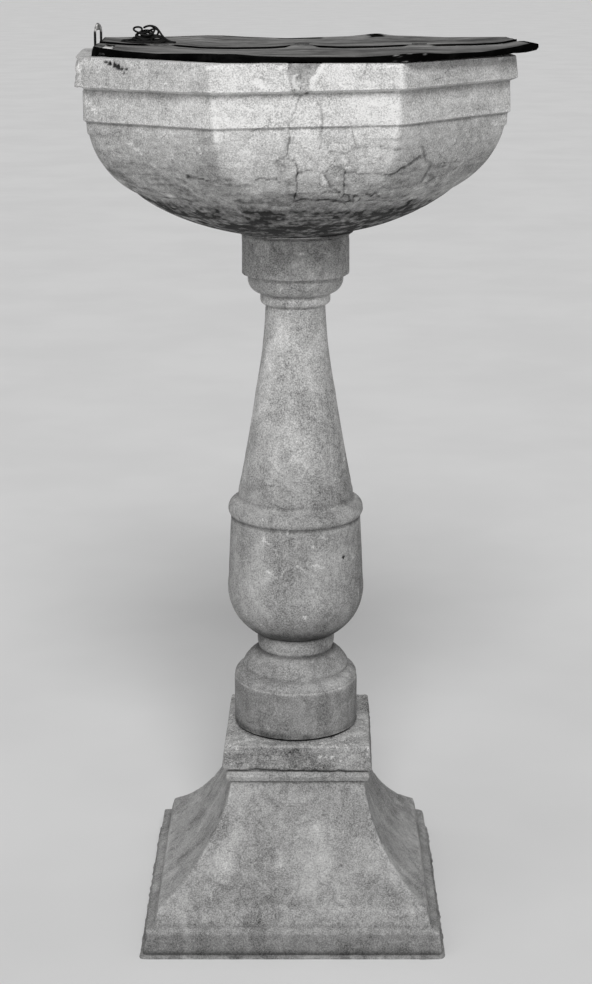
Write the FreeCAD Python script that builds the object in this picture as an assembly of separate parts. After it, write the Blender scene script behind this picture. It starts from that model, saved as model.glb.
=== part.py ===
import FreeCAD, Part
import math
import os
from FreeCAD import Vector

# Baptismal font: an octagonal stone bowl on a turned baluster, a square slab and a flared
# square base, with a hinged sheet-iron lid.  Millimetres, +Z up, the origin at the centre of
# the underside, the front towards -Y.

# Base
PLINTH_HALF = 185.5          # half width of the foot
PLINTH_TOP_HALF = 182.0
NECK_HALF = 85.5             # narrowest part of the flare
NECK_SHIFT = 6.0             # the hand-cut neck stands this far to +X of the plinth
BEAD_HALF = 90.0
SLAB_HALF = 92.2             # half across its top
SLAB_FOOT_HALF = 95.2        # half across its bottom: the sides batter
SLAB_SHIFT = 7.0
SLAB_TURN = -1.1             # degrees about +Z
SHAFT_SHIFT = 3.5

# Courses, as heights above the floor
FLOOR_BED_TOP = 4.0
BLOCK_TOP = 202.4
SLAB_BOTTOM = 205.0
SLAB_TOP = 237.8
SHAFT_BOTTOM = 240.4
SHAFT_TOP = 875.0
BOWL_BOTTOM = 877.5
RIM = 1099.0

# Bowl
BOWL_HALF = 250.0            # half across the flats below the bands
BOWL_TURN = 3.7              # degrees about +Z
BAND_LEAN = 1.0              # the cut bands climb this many degrees towards +X
CURVE_TOP = 1026.0           # where the round underside becomes upright
CURVE_POLE = 873.0           # where it would close under the bowl, were there no flat foot
FOOT_RADIUS = 72.0
ROUND_RADIUS = 200.0         # the underside is fully round inside this radius
BASIN_RADIUS = 205.0
BASIN_DEPTH = 165.0

# Repair wedge in the front of the rim
REPAIR_X = -6.0
REPAIR_HALF = 16.0
REPAIR_HEIGHT = 31.0
REPAIR_DEPTH = 22.0

# Dowels run in lead
DOWEL_RADIUS = 10.0
LEAD_RADIUS = 15.0
LOWER_DOWEL = (150.0, 310.0)
UPPER_DOWEL = (805.0, 910.0)

# Lid
LID_X = 20.5                 # the lid lies this far to +X of the bowl
LID_TURN = 1.9               # degrees about +Z
LID_HALF = 256.0             # half across the flats
LID_TOP = 1107.0
SHEET = 1.2
LID_CLEAR = 0.2              # gap between the lid's lip and the rim
SEAM_FRONT = 0.8             # the leaves stop this far each side of the hinge axis
SEAM_REAR = 1.3
LIP_KICK = 11.0              # how far the bent right-hand lip leans out
SLOT_X = -239.5
SLOT_SIZE = (11.0, 56.0)
SLOT_START = 6.0             # distance of the slot from the hinge axis
TONGUE = 50.0                # length cut from the slot and folded flat on the leaf

# Hinges
HINGE_X = (-181.0, -9.0, 135.0)
KNUCKLE_RADIUS = 2.5
KNUCKLE_LENGTH = 6.0
KNUCKLE_GAP = 0.15
PIN_RADIUS = 1.2
PIN_FIT = 0.05
PLATE = (18.0, 15.0, 1.0)    # width, reach from the axis, thickness
NOTCH = 3.4                  # how far the leaves are cut back round the knuckles
RIVET_RADIUS = 1.5
RIVET_HEAD = 2.6
RIVET_DOME = 0.6

# Padlock staple
STAPLE_X, STAPLE_Y = -242.7, 50.0
STAPLE_TURN = 76.0           # degrees about +Z from lying along X
STAPLE_WIDTH = 22.0          # between the leg centres
STAPLE_BAR = 1.6             # radius
STAPLE_TOP = 1132.0
STAPLE_DEPTH = 22.0          # leg below the rim
CROWN_BOTTOM = 1123.5        # the forged crown fills the bend down to here
LEG_LEAD = 4.5               # radius of the lead round each leg

# Heap of cord on the rear leaf
HEAP_X, HEAP_Y = -178.0, 48.0
HEAP_BASE = (33.0, 29.0, 9.0)      # half width, half depth, height
HEAP_CROWN = (21.0, 14.0, 24.5)    # lower radius, upper radius, height

HINGE_AXIS_Z = LID_TOP - SHEET / 2
TAN_EIGHTH = math.tan(math.radians(22.5))
UP = Vector(0, 0, 1)
ORIGIN = Vector(0, 0, 0)


def outline(start, *steps):
    """A closed face in the XZ plane.  A step is (x, z), or (mid x, mid z, x, z) for an arc."""
    here = Vector(start[0], 0, start[1])
    edges = []
    for step in steps + (start,):
        end = Vector(step[-2], 0, step[-1])
        if (end - here).Length > 1e-6:
            if len(step) == 4:
                edges.append(Part.Arc(here, Vector(step[0], 0, step[1]), end).toShape())
            else:
                edges.append(Part.LineSegment(here, end).toShape())
        here = end
    return Part.Face(Part.Wire(edges))


def turned(face):
    return face.revolve(ORIGIN, UP, 360)


def crossed(face_x, face_y, reach):
    """Two prisms across each other, so that the corners are mitred."""
    one = face_x.extrude(Vector(0, 2 * reach, 0))
    one.translate(Vector(0, -reach, 0))
    two = face_y.extrude(Vector(0, 2 * reach, 0))
    two.translate(Vector(0, -reach, 0))
    two.rotate(ORIGIN, UP, 90)
    return one.common(two)


def drum(radius, bottom, top, x=0.0, y=0.0):
    return Part.makeCylinder(radius, top - bottom, Vector(x, y, bottom))


def square(half, bottom, top):
    return Part.makeBox(2 * half, 2 * half, top - bottom, Vector(-half, -half, bottom))


def octagon(half, bottom, top):
    corner = half * TAN_EIGHTH
    points = []
    for quarter in range(4):
        turn = quarter * math.pi / 2
        for along in (-corner, corner):
            x = half * math.cos(turn) - along * math.sin(turn)
            y = half * math.sin(turn) + along * math.cos(turn)
            points.append(Vector(x, y, bottom))
    return Part.Face(Part.makePolygon(points + points[:1])).extrude(Vector(0, 0, top - bottom))


def placed(shape, x, turn, y=0.0):
    moved = shape.copy()
    moved.rotate(ORIGIN, UP, turn)
    moved.translate(Vector(x, y, 0))
    return moved


# ---- masonry ----

def block_outline(shift):
    """Plinth, sloped weathering, concave flare and square bead, seen from one side."""
    right = []
    left = []
    for side, points in ((1, right), (-1, left)):
        neck = side * NECK_HALF + shift
        bead = side * BEAD_HALF + shift
        points += [
            (side * PLINTH_HALF, FLOOR_BED_TOP), (side * PLINTH_TOP_HALF, 30.5),
            (side * 171.7, 35.5), (side * 169.5, 46.0), (side * 167.0, 54.0),
            (side * 118.0 + shift / 2, 101.5, neck, 182.0), (neck, 188.5),
            (bead - side * 1.5, 188.5), (bead + side * 1.5, 195.5, bead - side * 1.5, BLOCK_TOP),
        ]
    back = [left[-1][-2:]]
    for index in range(len(left) - 1, 0, -1):
        end = left[index - 1][-2:]
        arc_mid = left[index][:2] if len(left[index]) == 4 else ()
        back.append(arc_mid + end)
    return outline(right[0], *right[1:], *back)


def base_block(lower_hole):
    return crossed(block_outline(NECK_SHIFT), block_outline(0.0), 200).cut(lower_hole)


def base_slab(lower_hole):
    edge = 2.0
    face = outline((-SLAB_FOOT_HALF, SLAB_BOTTOM + edge), (-SLAB_FOOT_HALF + edge, SLAB_BOTTOM),
                   (SLAB_FOOT_HALF - edge, SLAB_BOTTOM), (SLAB_FOOT_HALF, SLAB_BOTTOM + edge),
                   (SLAB_HALF, SLAB_TOP - edge), (SLAB_HALF - edge, SLAB_TOP),
                   (-SLAB_HALF + edge, SLAB_TOP), (-SLAB_HALF, SLAB_TOP - edge))
    return placed(crossed(face, face, 120), SLAB_SHIFT, SLAB_TURN).cut(lower_hole)


def baluster_shaft(lower_hole, upper_hole):
    face = outline(
        (0, SHAFT_BOTTOM), (79.2, SHAFT_BOTTOM), (79.2, 299.0),
        (75.7, 308.5, 66.8, 312.5), (67.6, 318.0),
        (59.4, 329.6, 46.9, 337.5),
        (49.2, 345.5, 49.6, 353.0), (49.6, 359.0),
        (76.0, 382.5, 86.5, 430.0), (82.4, 514.5),
        (86.0, 525.0, 76.0, 536.0), (73.4, 540.5), (73.0, 547.0),
        (60.0, 615.0, 50.5, 675.0),
        (42.2, 728.0, 37.8, 785.5),
        (42.6, 788.0, 44.2, 792.0), (44.2, 800.0),
        (56.3, 807.5, 60.0, 820.5), (60.0, 823.0), (67.4, 824.8),
        (67.4, SHAFT_TOP), (0, SHAFT_TOP))
    return placed(turned(face), SHAFT_SHIFT, 0).cut(lower_hole).cut(upper_hole)


def underside_arc(first, last):
    """The bowl's elliptical underside in the XZ plane, between two angles down from +X."""
    curve = Part.Ellipse(Vector(BOWL_HALF, 0, CURVE_TOP), Vector(0, 0, CURVE_POLE),
                         Vector(0, 0, CURVE_TOP))
    return Part.Arc(curve, first, last).toShape()


def bowl_outline():
    """The bowl between two opposite flats: curved sides and the two bands round the top."""
    low = ROUND_RADIUS + 1.5
    return outline(
        (low, BOWL_BOTTOM - 10), (low, 934.0),
        (237.5, 975.0, BOWL_HALF, CURVE_TOP), (253.5, 1028.4), (253.0, 1064.5),
        (262.5, 1068.3), (260.0, RIM + 20), (-260.0, RIM + 20), (-262.5, 1068.3),
        (-253.0, 1064.5), (-253.5, 1028.4), (-BOWL_HALF, CURVE_TOP),
        (-237.5, 975.0, -low, 934.0), (-low, BOWL_BOTTOM - 10))


def bowl_round():
    """Turned envelope that melts the eight arrises into a round underside."""
    under = underside_arc(math.acos(ROUND_RADIUS / BOWL_HALF), math.acos(FOOT_RADIUS / BOWL_HALF))
    low, high = sorted((v.Point for v in under.Vertexes), key=lambda point: point.z)
    melt = Part.Arc(high, Vector(248, 0, 972), Vector(273, 0, 1012)).toShape()
    path = Part.makePolygon([melt.Vertexes[-1].Point, Vector(300, 0, 1012),
                             Vector(300, 0, RIM + 30), Vector(0, 0, RIM + 30),
                             Vector(0, 0, BOWL_BOTTOM - 5), Vector(FOOT_RADIUS, 0, BOWL_BOTTOM - 5),
                             low])
    return turned(Part.Face(Part.Wire([under, melt] + path.Edges)))


def repair_wedge():
    top = RIM
    face = outline((REPAIR_X - REPAIR_HALF, top), (REPAIR_X, top - REPAIR_HEIGHT),
                   (REPAIR_X + REPAIR_HALF, top))
    wedge = face.extrude(Vector(0, 60, 0))
    wedge.translate(Vector(0, -300, 0))
    keep = Part.makeBox(100, 100, 100, Vector(-50, -260 - 100 + REPAIR_DEPTH, RIM - 60))
    return placed(wedge.common(keep), 0, BOWL_TURN)


def bowl_solid(upper_hole):
    face = bowl_outline()
    first = crossed(face, face, 320)
    second = first.copy()
    second.rotate(ORIGIN, UP, 45)
    body = first.common(second).common(bowl_round())
    body.rotate(Vector(0, 0, 1066), Vector(0, 1, 0), -BAND_LEAN)
    body = placed(body, 0, BOWL_TURN)
    body = body.common(Part.makeBox(600, 600, RIM - BOWL_BOTTOM, Vector(-300, -300, BOWL_BOTTOM)))
    basin = Part.makeSphere(BASIN_RADIUS, ORIGIN)
    squash = FreeCAD.Matrix()
    squash.scale(Vector(1, 1, BASIN_DEPTH / BASIN_RADIUS))
    basin = basin.transformGeometry(squash)
    basin.translate(Vector(0, 0, RIM))
    return body.cut(basin).cut(upper_hole)


def mortar_beds(lower_hole, upper_hole):
    joint_mid = (SHAFT_TOP + BOWL_BOTTOM) / 2
    squeezed = outline((0, SHAFT_TOP), (69.0, SHAFT_TOP), (70.1, joint_mid, 69.0, BOWL_BOTTOM),
                       (0, BOWL_BOTTOM))
    bowl_bed = placed(turned(squeezed), SHAFT_SHIFT, 0)
    return {
        "floor_bed": square(PLINTH_HALF + 4.0, 0, FLOOR_BED_TOP),
        "slab_bed": placed(square(86.0, BLOCK_TOP, SLAB_BOTTOM), SLAB_SHIFT, 0).cut(lower_hole),
        "shaft_bed": drum(77.0, SLAB_TOP, SHAFT_BOTTOM, SHAFT_SHIFT).cut(lower_hole),
        "bowl_bed": bowl_bed.cut(upper_hole),
    }


def dowel_parts():
    parts = {}
    for name, (bottom, top) in (("lower", LOWER_DOWEL), ("upper", UPPER_DOWEL)):
        rod = drum(DOWEL_RADIUS, bottom, top, SHAFT_SHIFT)
        parts[name + "_dowel"] = rod
        parts[name + "_dowel_lead"] = drum(LEAD_RADIUS, bottom, top, SHAFT_SHIFT).cut(rod)
    return parts


# ---- padlock staple ----

def staple_parts():
    half = STAPLE_WIDTH / 2
    bottom = RIM - STAPLE_DEPTH
    bend = STAPLE_TOP - STAPLE_BAR - half
    path = Part.Wire([
        Part.LineSegment(Vector(-half, 0, bottom), Vector(-half, 0, bend)).toShape(),
        Part.Arc(Vector(-half, 0, bend), Vector(0, 0, bend + half), Vector(half, 0, bend)).toShape(),
        Part.LineSegment(Vector(half, 0, bend), Vector(half, 0, bottom)).toShape(),
    ])
    ring = Part.Wire([Part.makeCircle(STAPLE_BAR, Vector(-half, 0, bottom), UP)])
    staple = path.makePipeShell([ring], True, False)
    disc = Part.makeCylinder(half, 2 * STAPLE_BAR - 0.4, Vector(0, 0.2 - STAPLE_BAR, bend),
                             Vector(0, 1, 0))
    above = Part.makeBox(60, 60, 60, Vector(-30, -30, CROWN_BOTTOM))
    staple = staple.fuse(disc.common(above)).removeSplitter()
    plugs = []
    sockets = []
    for x in (-half, half):
        socket = drum(LEG_LEAD, bottom - 3, RIM, x)
        sockets.append(socket)
        plugs.append(socket.cut(staple))
    shapes = []
    for shape in (staple, Part.makeCompound(plugs), Part.makeCompound(sockets)):
        shapes.append(placed(shape, STAPLE_X, STAPLE_TURN, STAPLE_Y))
    return shapes


# ---- lid ----

def lid_shell():
    """The whole shallow tray before it is parted along the seam."""
    lip_bottom = RIM + LID_CLEAR
    outer = octagon(LID_HALF, lip_bottom, LID_TOP)
    inner = octagon(LID_HALF - SHEET, lip_bottom - 1, LID_TOP - SHEET)
    return outer.cut(inner)


def kicked_lip():
    """The right-hand lip of the front leaf, bent outwards."""
    lip_bottom = RIM + LID_CLEAR
    reach = LID_HALF * TAN_EIGHTH
    face = outline((LID_HALF - SHEET, LID_TOP), (LID_HALF, LID_TOP),
                   (LID_HALF + LIP_KICK, lip_bottom + 3), (LID_HALF + LIP_KICK, lip_bottom + 1.6),
                   (LID_HALF - SHEET, LID_TOP - SHEET))
    lip = face.extrude(Vector(0, reach - SEAM_FRONT, 0))
    lip.translate(Vector(0, -reach, 0))
    return lip


def side_box(near, far):
    """A box over one side of the seam, between two distances along Y."""
    low, high = sorted((near, far))
    return Part.makeBox(640, high - low, 60, Vector(-320, low, LID_TOP - 40))


def hinge_notches(side, depth):
    boxes = []
    for x in HINGE_X:
        low, high = sorted((0.0, side * depth))
        boxes.append(Part.makeBox(PLATE[0] + 1.0, high - low, 20,
                                  Vector(x - PLATE[0] / 2 - 0.5, low, LID_TOP - 10)))
    return Part.makeCompound(boxes)


def rivet_places(side):
    places = []
    for x in HINGE_X:
        for offset in (-5.5, 5.5):
            places.append((x + offset, side * 10.0))
    return places


def rivet(x, y):
    """A shank through sheet and plate, with a low head above and a hammered tail below."""
    under = LID_TOP - SHEET - PLATE[2]
    face = outline((0, under - RIVET_DOME), (RIVET_HEAD * 0.8, under - RIVET_DOME),
                   (RIVET_HEAD * 0.8, under), (RIVET_RADIUS, under), (RIVET_RADIUS, LID_TOP),
                   (RIVET_HEAD, LID_TOP), (RIVET_HEAD * 0.6, LID_TOP + RIVET_DOME),
                   (0, LID_TOP + RIVET_DOME))
    return turned(face).translated(Vector(x, y, 0))


def rivet_holes(side):
    holes = []
    for x, y in rivet_places(side):
        holes.append(drum(RIVET_RADIUS, LID_TOP - 10, LID_TOP + 10, x, y))
    return Part.makeCompound(holes)


def lid_front_leaf():
    leaf = lid_shell().common(side_box(-300, -SEAM_FRONT))
    reach = LID_HALF * TAN_EIGHTH
    straight_lip = Part.makeBox(20, reach - SEAM_FRONT, LID_TOP - SHEET - RIM,
                                Vector(LID_HALF - SHEET, -reach, RIM))
    leaf = leaf.cut(straight_lip).fuse(kicked_lip()).removeSplitter()
    leaf = leaf.cut(hinge_notches(-1, NOTCH)).cut(rivet_holes(-1))
    width, length = SLOT_SIZE
    slot = Part.makeBox(width, length, 20,
                        Vector(SLOT_X - width / 2, -SLOT_START - length, LID_TOP - 10))
    tongue = Part.makeBox(width, TONGUE, SHEET,
                          Vector(SLOT_X - width / 2, -SLOT_START - length - TONGUE, LID_TOP))
    return leaf.cut(slot).fuse(tongue).removeSplitter()


def lid_rear_leaf():
    leaf = lid_shell().common(side_box(SEAM_REAR, 300))
    return leaf.cut(hinge_notches(1, NOTCH)).cut(rivet_holes(1))


def knuckle(x, length):
    tube = Part.makeCylinder(KNUCKLE_RADIUS, length, Vector(x - length / 2, 0, HINGE_AXIS_Z),
                             Vector(1, 0, 0))
    bore = Part.makeCylinder(PIN_RADIUS + PIN_FIT, length, Vector(x - length / 2, 0, HINGE_AXIS_Z),
                             Vector(1, 0, 0))
    return tube, bore


def hinge_plate(x, side):
    """One riveted plate with its knuckles: two on the rear plate, one on the front plate."""
    width, reach, thick = PLATE
    top = LID_TOP - SHEET
    low, high = sorted((side * NOTCH, side * reach))
    plate = Part.makeBox(width, high - low, thick, Vector(x - width / 2, low, top - thick))
    step = KNUCKLE_LENGTH + KNUCKLE_GAP
    centres = (x,) if side < 0 else (x - step, x + step)
    bores = []
    for centre in centres:
        tube, bore = knuckle(centre, KNUCKLE_LENGTH - KNUCKLE_GAP)
        low, high = sorted((0.0, side * NOTCH))
        tongue = Part.makeBox(KNUCKLE_LENGTH - KNUCKLE_GAP, high - low, thick,
                              Vector(centre - (KNUCKLE_LENGTH - KNUCKLE_GAP) / 2, low, top - thick))
        plate = plate.fuse(tube).fuse(tongue)
        bores.append(bore)
    for bore in bores:
        plate = plate.cut(bore)
    return plate.cut(rivet_holes(side)).removeSplitter()


def hinge_pin(x):
    length = 3 * KNUCKLE_LENGTH + 1.0
    return Part.makeCylinder(PIN_RADIUS, length, Vector(x - length / 2, 0, HINGE_AXIS_Z),
                             Vector(1, 0, 0))


def lid_parts():
    parts = {"lid_front_leaf": lid_front_leaf(), "lid_rear_leaf": lid_rear_leaf()}
    for name, x in zip(("left", "middle", "right"), HINGE_X):
        parts["hinge_" + name + "_front"] = hinge_plate(x, -1)
        parts["hinge_" + name + "_rear"] = hinge_plate(x, 1)
        parts["hinge_" + name + "_pin"] = hinge_pin(x)
    for name, side in (("front", -1), ("rear", 1)):
        parts["rivets_" + name] = Part.makeCompound([rivet(x, y) for x, y in rivet_places(side)])
    return {name: placed(shape, LID_X, LID_TURN) for name, shape in parts.items()}


def cord_heap():
    """Outer shape of the loose heap of cord: a low spread ring and a crown of loops."""
    half_width, half_depth, height = HEAP_BASE
    base = Part.makeCylinder(half_width, height, ORIGIN)
    squash = FreeCAD.Matrix()
    squash.scale(Vector(1, half_depth / half_width, 1))
    base = base.transformGeometry(squash)
    lower, upper, top = HEAP_CROWN
    crown = Part.makeCone(lower, upper, top, Vector(-4.0, 0, 0))
    heap = base.fuse(crown).removeSplitter()
    return heap.translated(Vector(HEAP_X, HEAP_Y, LID_TOP))


def build():
    lower_hole = drum(LEAD_RADIUS, *LOWER_DOWEL, SHAFT_SHIFT)
    upper_hole = drum(LEAD_RADIUS, *UPPER_DOWEL, SHAFT_SHIFT)
    staple, staple_lead, staple_sockets = staple_parts()
    wedge = repair_wedge()
    bowl = bowl_solid(upper_hole)
    parts = {
        "base_block": base_block(lower_hole),
        "base_slab": base_slab(lower_hole),
        "baluster_shaft": baluster_shaft(lower_hole, upper_hole),
        "bowl": bowl.cut(wedge).cut(staple_sockets),
        "rim_repair": bowl.common(wedge),
        "staple": staple,
        "staple_lead": staple_lead,
        "lid_cord": cord_heap(),
    }
    parts.update(mortar_beds(lower_hole, upper_hole))
    parts.update(dowel_parts())
    parts.update(lid_parts())
    return parts


def main():
    os.makedirs("parts", exist_ok=True)
    for name, shape in build().items():
        solid = shape.Solids[0] if len(shape.Solids) == 1 else shape
        solid.exportStep("parts/" + name + ".step")
        print(name, len(shape.Solids), shape.isValid(), round(shape.Volume / 1000.0, 2), "cm3")


main()
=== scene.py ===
import math

import bpy
import numpy as np
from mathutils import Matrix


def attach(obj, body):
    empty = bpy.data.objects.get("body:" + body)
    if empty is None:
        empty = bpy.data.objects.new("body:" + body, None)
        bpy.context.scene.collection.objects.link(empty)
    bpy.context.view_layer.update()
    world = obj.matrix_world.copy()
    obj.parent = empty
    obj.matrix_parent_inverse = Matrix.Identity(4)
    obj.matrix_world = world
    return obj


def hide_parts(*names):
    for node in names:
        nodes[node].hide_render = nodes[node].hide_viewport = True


# Looks of a stone baptismal font with a sheet-iron lid.  Lengths in this file are millimetres
# in the frame of the CAD, and are turned into metres where a mesh or curve is made.

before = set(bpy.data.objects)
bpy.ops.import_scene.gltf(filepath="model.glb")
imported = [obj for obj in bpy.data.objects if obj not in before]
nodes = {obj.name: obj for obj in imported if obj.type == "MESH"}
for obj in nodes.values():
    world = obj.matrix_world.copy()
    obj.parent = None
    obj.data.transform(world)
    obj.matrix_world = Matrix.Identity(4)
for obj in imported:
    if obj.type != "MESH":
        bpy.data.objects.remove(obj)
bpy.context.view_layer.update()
MM = 0.001


# ---- camera ----

def make_camera():
    data = bpy.data.cameras.new("camera")
    data.sensor_width = 36.0
    data.lens = 72.8
    data.shift_x = -0.0064
    data.shift_y = -0.18
    camera = bpy.data.objects.new("camera", data)
    camera.location = (0.012, -2.4538, 1.2178)
    camera.rotation_euler = (math.pi / 2 - 0.18, 0.0, 0.0)
    bpy.context.scene.collection.objects.link(camera)
    bpy.context.scene.camera = camera


make_camera()


# ---- materials ----

def fill(node, values):
    for name, value in values.items():
        node.inputs[name].default_value = value


class Field:
    """A value that a material's nodes work out at each point of a surface."""

    def __init__(self, tree, socket):
        self.tree = tree
        self.socket = socket

    def feed(self, place):
        self.tree.links.new(self.socket, place)

    def maths(self, operation, other):
        node = self.tree.nodes.new("ShaderNodeMath")
        node.operation = operation
        self.feed(node.inputs[0])
        if isinstance(other, Field):
            other.feed(node.inputs[1])
        else:
            node.inputs[1].default_value = other
        return Field(self.tree, node.outputs["Value"])

    def __add__(self, other):
        return self.maths("ADD", other)

    def __sub__(self, other):
        return self.maths("SUBTRACT", other)

    def __mul__(self, other):
        return self.maths("MULTIPLY", other)

    def clamp(self, low, high):
        return self.maths("MAXIMUM", low).maths("MINIMUM", high)

    def remap(self, low, high, to_low=0.0, to_high=1.0):
        node = self.tree.nodes.new("ShaderNodeMapRange")
        node.interpolation_type = "SMOOTHSTEP"
        fill(node, {"From Min": low, "From Max": high, "To Min": to_low, "To Max": to_high})
        self.feed(node.inputs["Value"])
        return Field(self.tree, node.outputs["Result"])

    def paint(self, shader, tint=(1.0, 1.0, 1.0)):
        """Colour the shader with a grey of this brightness, slightly tinted."""
        node = self.tree.nodes.new("ShaderNodeCombineColor")
        for socket, share in zip(node.inputs, tint):
            (self * share).feed(socket)
        self.tree.links.new(node.outputs["Color"], shader.inputs["Base Color"])

    def emboss(self, shader, strength, distance):
        """Use this value as the height of the shader's surface."""
        node = self.tree.nodes.new("ShaderNodeBump")
        fill(node, {"Strength": strength, "Distance": distance})
        self.feed(node.inputs["Height"])
        self.tree.links.new(node.outputs["Normal"], shader.inputs["Normal"])


def node_material(name):
    material = bpy.data.materials.new(name)
    material.use_nodes = True
    tree = material.node_tree
    tree.nodes.clear()
    output = tree.nodes.new("ShaderNodeOutputMaterial")
    shader = tree.nodes.new("ShaderNodeBsdfPrincipled")
    tree.links.new(shader.outputs["BSDF"], output.inputs["Surface"])
    return material, tree, shader


def object_coordinates(tree, stretch=(1.0, 1.0, 1.0)):
    coordinates = tree.nodes.new("ShaderNodeTexCoord")
    mapping = tree.nodes.new("ShaderNodeMapping")
    mapping.inputs["Scale"].default_value = stretch
    tree.links.new(coordinates.outputs["Object"], mapping.inputs["Vector"])
    return mapping.outputs["Vector"]


def noise(tree, vector, scale, detail=4.0, roughness=0.6, distortion=0.0):
    texture = tree.nodes.new("ShaderNodeTexNoise")
    fill(texture, {"Scale": scale, "Detail": detail, "Roughness": roughness,
                   "Distortion": distortion})
    tree.links.new(vector, texture.inputs["Vector"])
    return Field(tree, texture.outputs["Fac"])


def attribute(tree, name):
    node = tree.nodes.new("ShaderNodeAttribute")
    node.attribute_name = name
    return Field(tree, node.outputs["Fac"])


def hairlines(tree, vector, scale, width):
    """A web of thin wandering lines, present only in places."""
    wander = tree.nodes.new("ShaderNodeTexNoise")
    fill(wander, {"Scale": scale * 1.4, "Detail": 3.0})
    tree.links.new(vector, wander.inputs["Vector"])
    shift = tree.nodes.new("ShaderNodeVectorMath")
    shift.operation = "MULTIPLY_ADD"
    tree.links.new(wander.outputs["Color"], shift.inputs[0])
    shift.inputs[1].default_value = (0.06, 0.06, 0.06)
    tree.links.new(vector, shift.inputs[2])
    web = tree.nodes.new("ShaderNodeTexVoronoi")
    web.feature = "DISTANCE_TO_EDGE"
    web.inputs["Scale"].default_value = scale
    tree.links.new(shift.outputs["Vector"], web.inputs["Vector"])
    line = Field(tree, web.outputs["Distance"]).remap(0.0, width * scale, 1.0, 0.0)
    return line * noise(tree, vector, scale * 0.8, 2.0).remap(0.5, 0.62)


def stone_material(name, base, mottle=0.24, grain=0.4, stain=0.5, rough=0.82, bumpy=0.6,
                   crack=0.3, bedding=(1.0, 1.0, 5.0)):
    """Weathered limestone: broad clouds, mottling, grain, specks, hairlines and painted tone.
    bedding squeezes the space of the streaks, which run along the axis squeezed least."""
    material, tree, shader = node_material(name)
    vector = object_coordinates(tree)
    streaks = noise(tree, object_coordinates(tree, bedding), 26.0, 5.0, 0.7, 0.5)
    layers = streaks.remap(0.32, 0.68, -1.0, 1.0)
    clouds = noise(tree, vector, 11.0, 3.0, 0.55, 0.6).remap(0.30, 0.72, -1.0, 1.0)
    patches = noise(tree, vector, 52.0, 6.0, 0.72, 1.2).remap(0.30, 0.70, -1.0, 1.0)
    fine = noise(tree, vector, 560.0, 4.0, 0.8).remap(0.34, 0.66, -1.0, 1.0)
    specks = noise(tree, vector, 230.0, 5.0, 0.8).remap(0.61, 0.71)
    pale = noise(tree, vector, 240.0, 3.0, 0.7, 0.4).remap(0.62, 0.70)
    lines = hairlines(tree, vector, 13.0, 0.0011)
    value = clouds * (mottle * 0.6) + patches * (mottle * 0.7) + layers * (mottle * 0.45)
    value = value + fine * grain - specks * stain + pale * (stain * 0.6) - lines * crack + 1.0
    value = value * (attribute(tree, "tone") + 1.0) * base
    value.clamp(0.02, 0.86).paint(shader, (1.0, 0.995, 0.985))
    polish = noise(tree, vector, 30.0, 3.0).remap(0.3, 0.7, rough - 0.12, rough + 0.1)
    polish.feed(shader.inputs["Roughness"])
    shader.inputs["Specular IOR Level"].default_value = 0.3
    height = fine * 0.3 + patches * 0.5 - specks * 1.2 - lines * 0.8
    height.emboss(shader, bumpy, 0.0008)
    return material


def iron_material(name, base, stretch=(1.0, 1.0, 1.0), rough=0.5, metallic=0.4, streak=0.5,
                  worn=0.0, specular=0.5):
    """Old dark iron: streaks and blotches of rust and dust, with a dull uneven sheen."""
    material, tree, shader = node_material(name)
    vector = object_coordinates(tree, stretch)
    broad = noise(tree, vector, 16.0, 4.0, 0.6, 0.5).remap(0.3, 0.7, -1.0, 1.0)
    lines = noise(tree, vector, 90.0, 4.0, 0.7).remap(0.3, 0.7, -1.0, 1.0)
    fine = noise(tree, vector, 500.0, 3.0, 0.7).remap(0.3, 0.7, -1.0, 1.0)
    dust = noise(tree, vector, 260.0, 3.0, 0.7).remap(0.64, 0.74)
    shade = attribute(tree, "tone") + 1.0
    value = broad * (streak * 0.5) + lines * (streak * 0.6) + fine * 0.16 + dust * 1.1
    value = (value + 1.0) * shade
    if worn:
        value = value + attribute(tree, "wear") * worn
    (value * base).clamp(0.002, 0.8).paint(shader, (1.0, 0.99, 0.975))
    shader.inputs["Metallic"].default_value = metallic
    (shade.maths("MINIMUM", 1.0) * specular).feed(shader.inputs["Specular IOR Level"])
    sheen = noise(tree, vector, 70.0, 3.0).remap(0.3, 0.7, rough - 0.12, rough + 0.16)
    sheen.feed(shader.inputs["Roughness"])
    (lines * 0.5 + fine * 0.3).emboss(shader, 0.4, 0.0004)
    return material


def lead_material():
    material, tree, shader = node_material("lead")
    vector = object_coordinates(tree)
    dull = noise(tree, vector, 220.0, 4.0, 0.65).remap(0.3, 0.7, 0.16, 0.34)
    dull.paint(shader, (0.96, 0.99, 1.0))
    fill(shader, {"Metallic": 0.6, "Roughness": 0.62})
    noise(tree, vector, 300.0, 4.0).emboss(shader, 0.4, 0.0004)
    return material


def cord_material():
    """Black waxed cord: fine fibres and a soft sheen."""
    material, tree, shader = node_material("cord")
    vector = object_coordinates(tree)
    noise(tree, vector, 900.0, 3.0, 0.7).remap(0.3, 0.7, 0.003, 0.012).paint(shader)
    fill(shader, {"Roughness": 0.6, "Specular IOR Level": 0.18})
    noise(tree, vector, 1400.0, 2.0).emboss(shader, 0.35, 0.0003)
    return material


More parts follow.
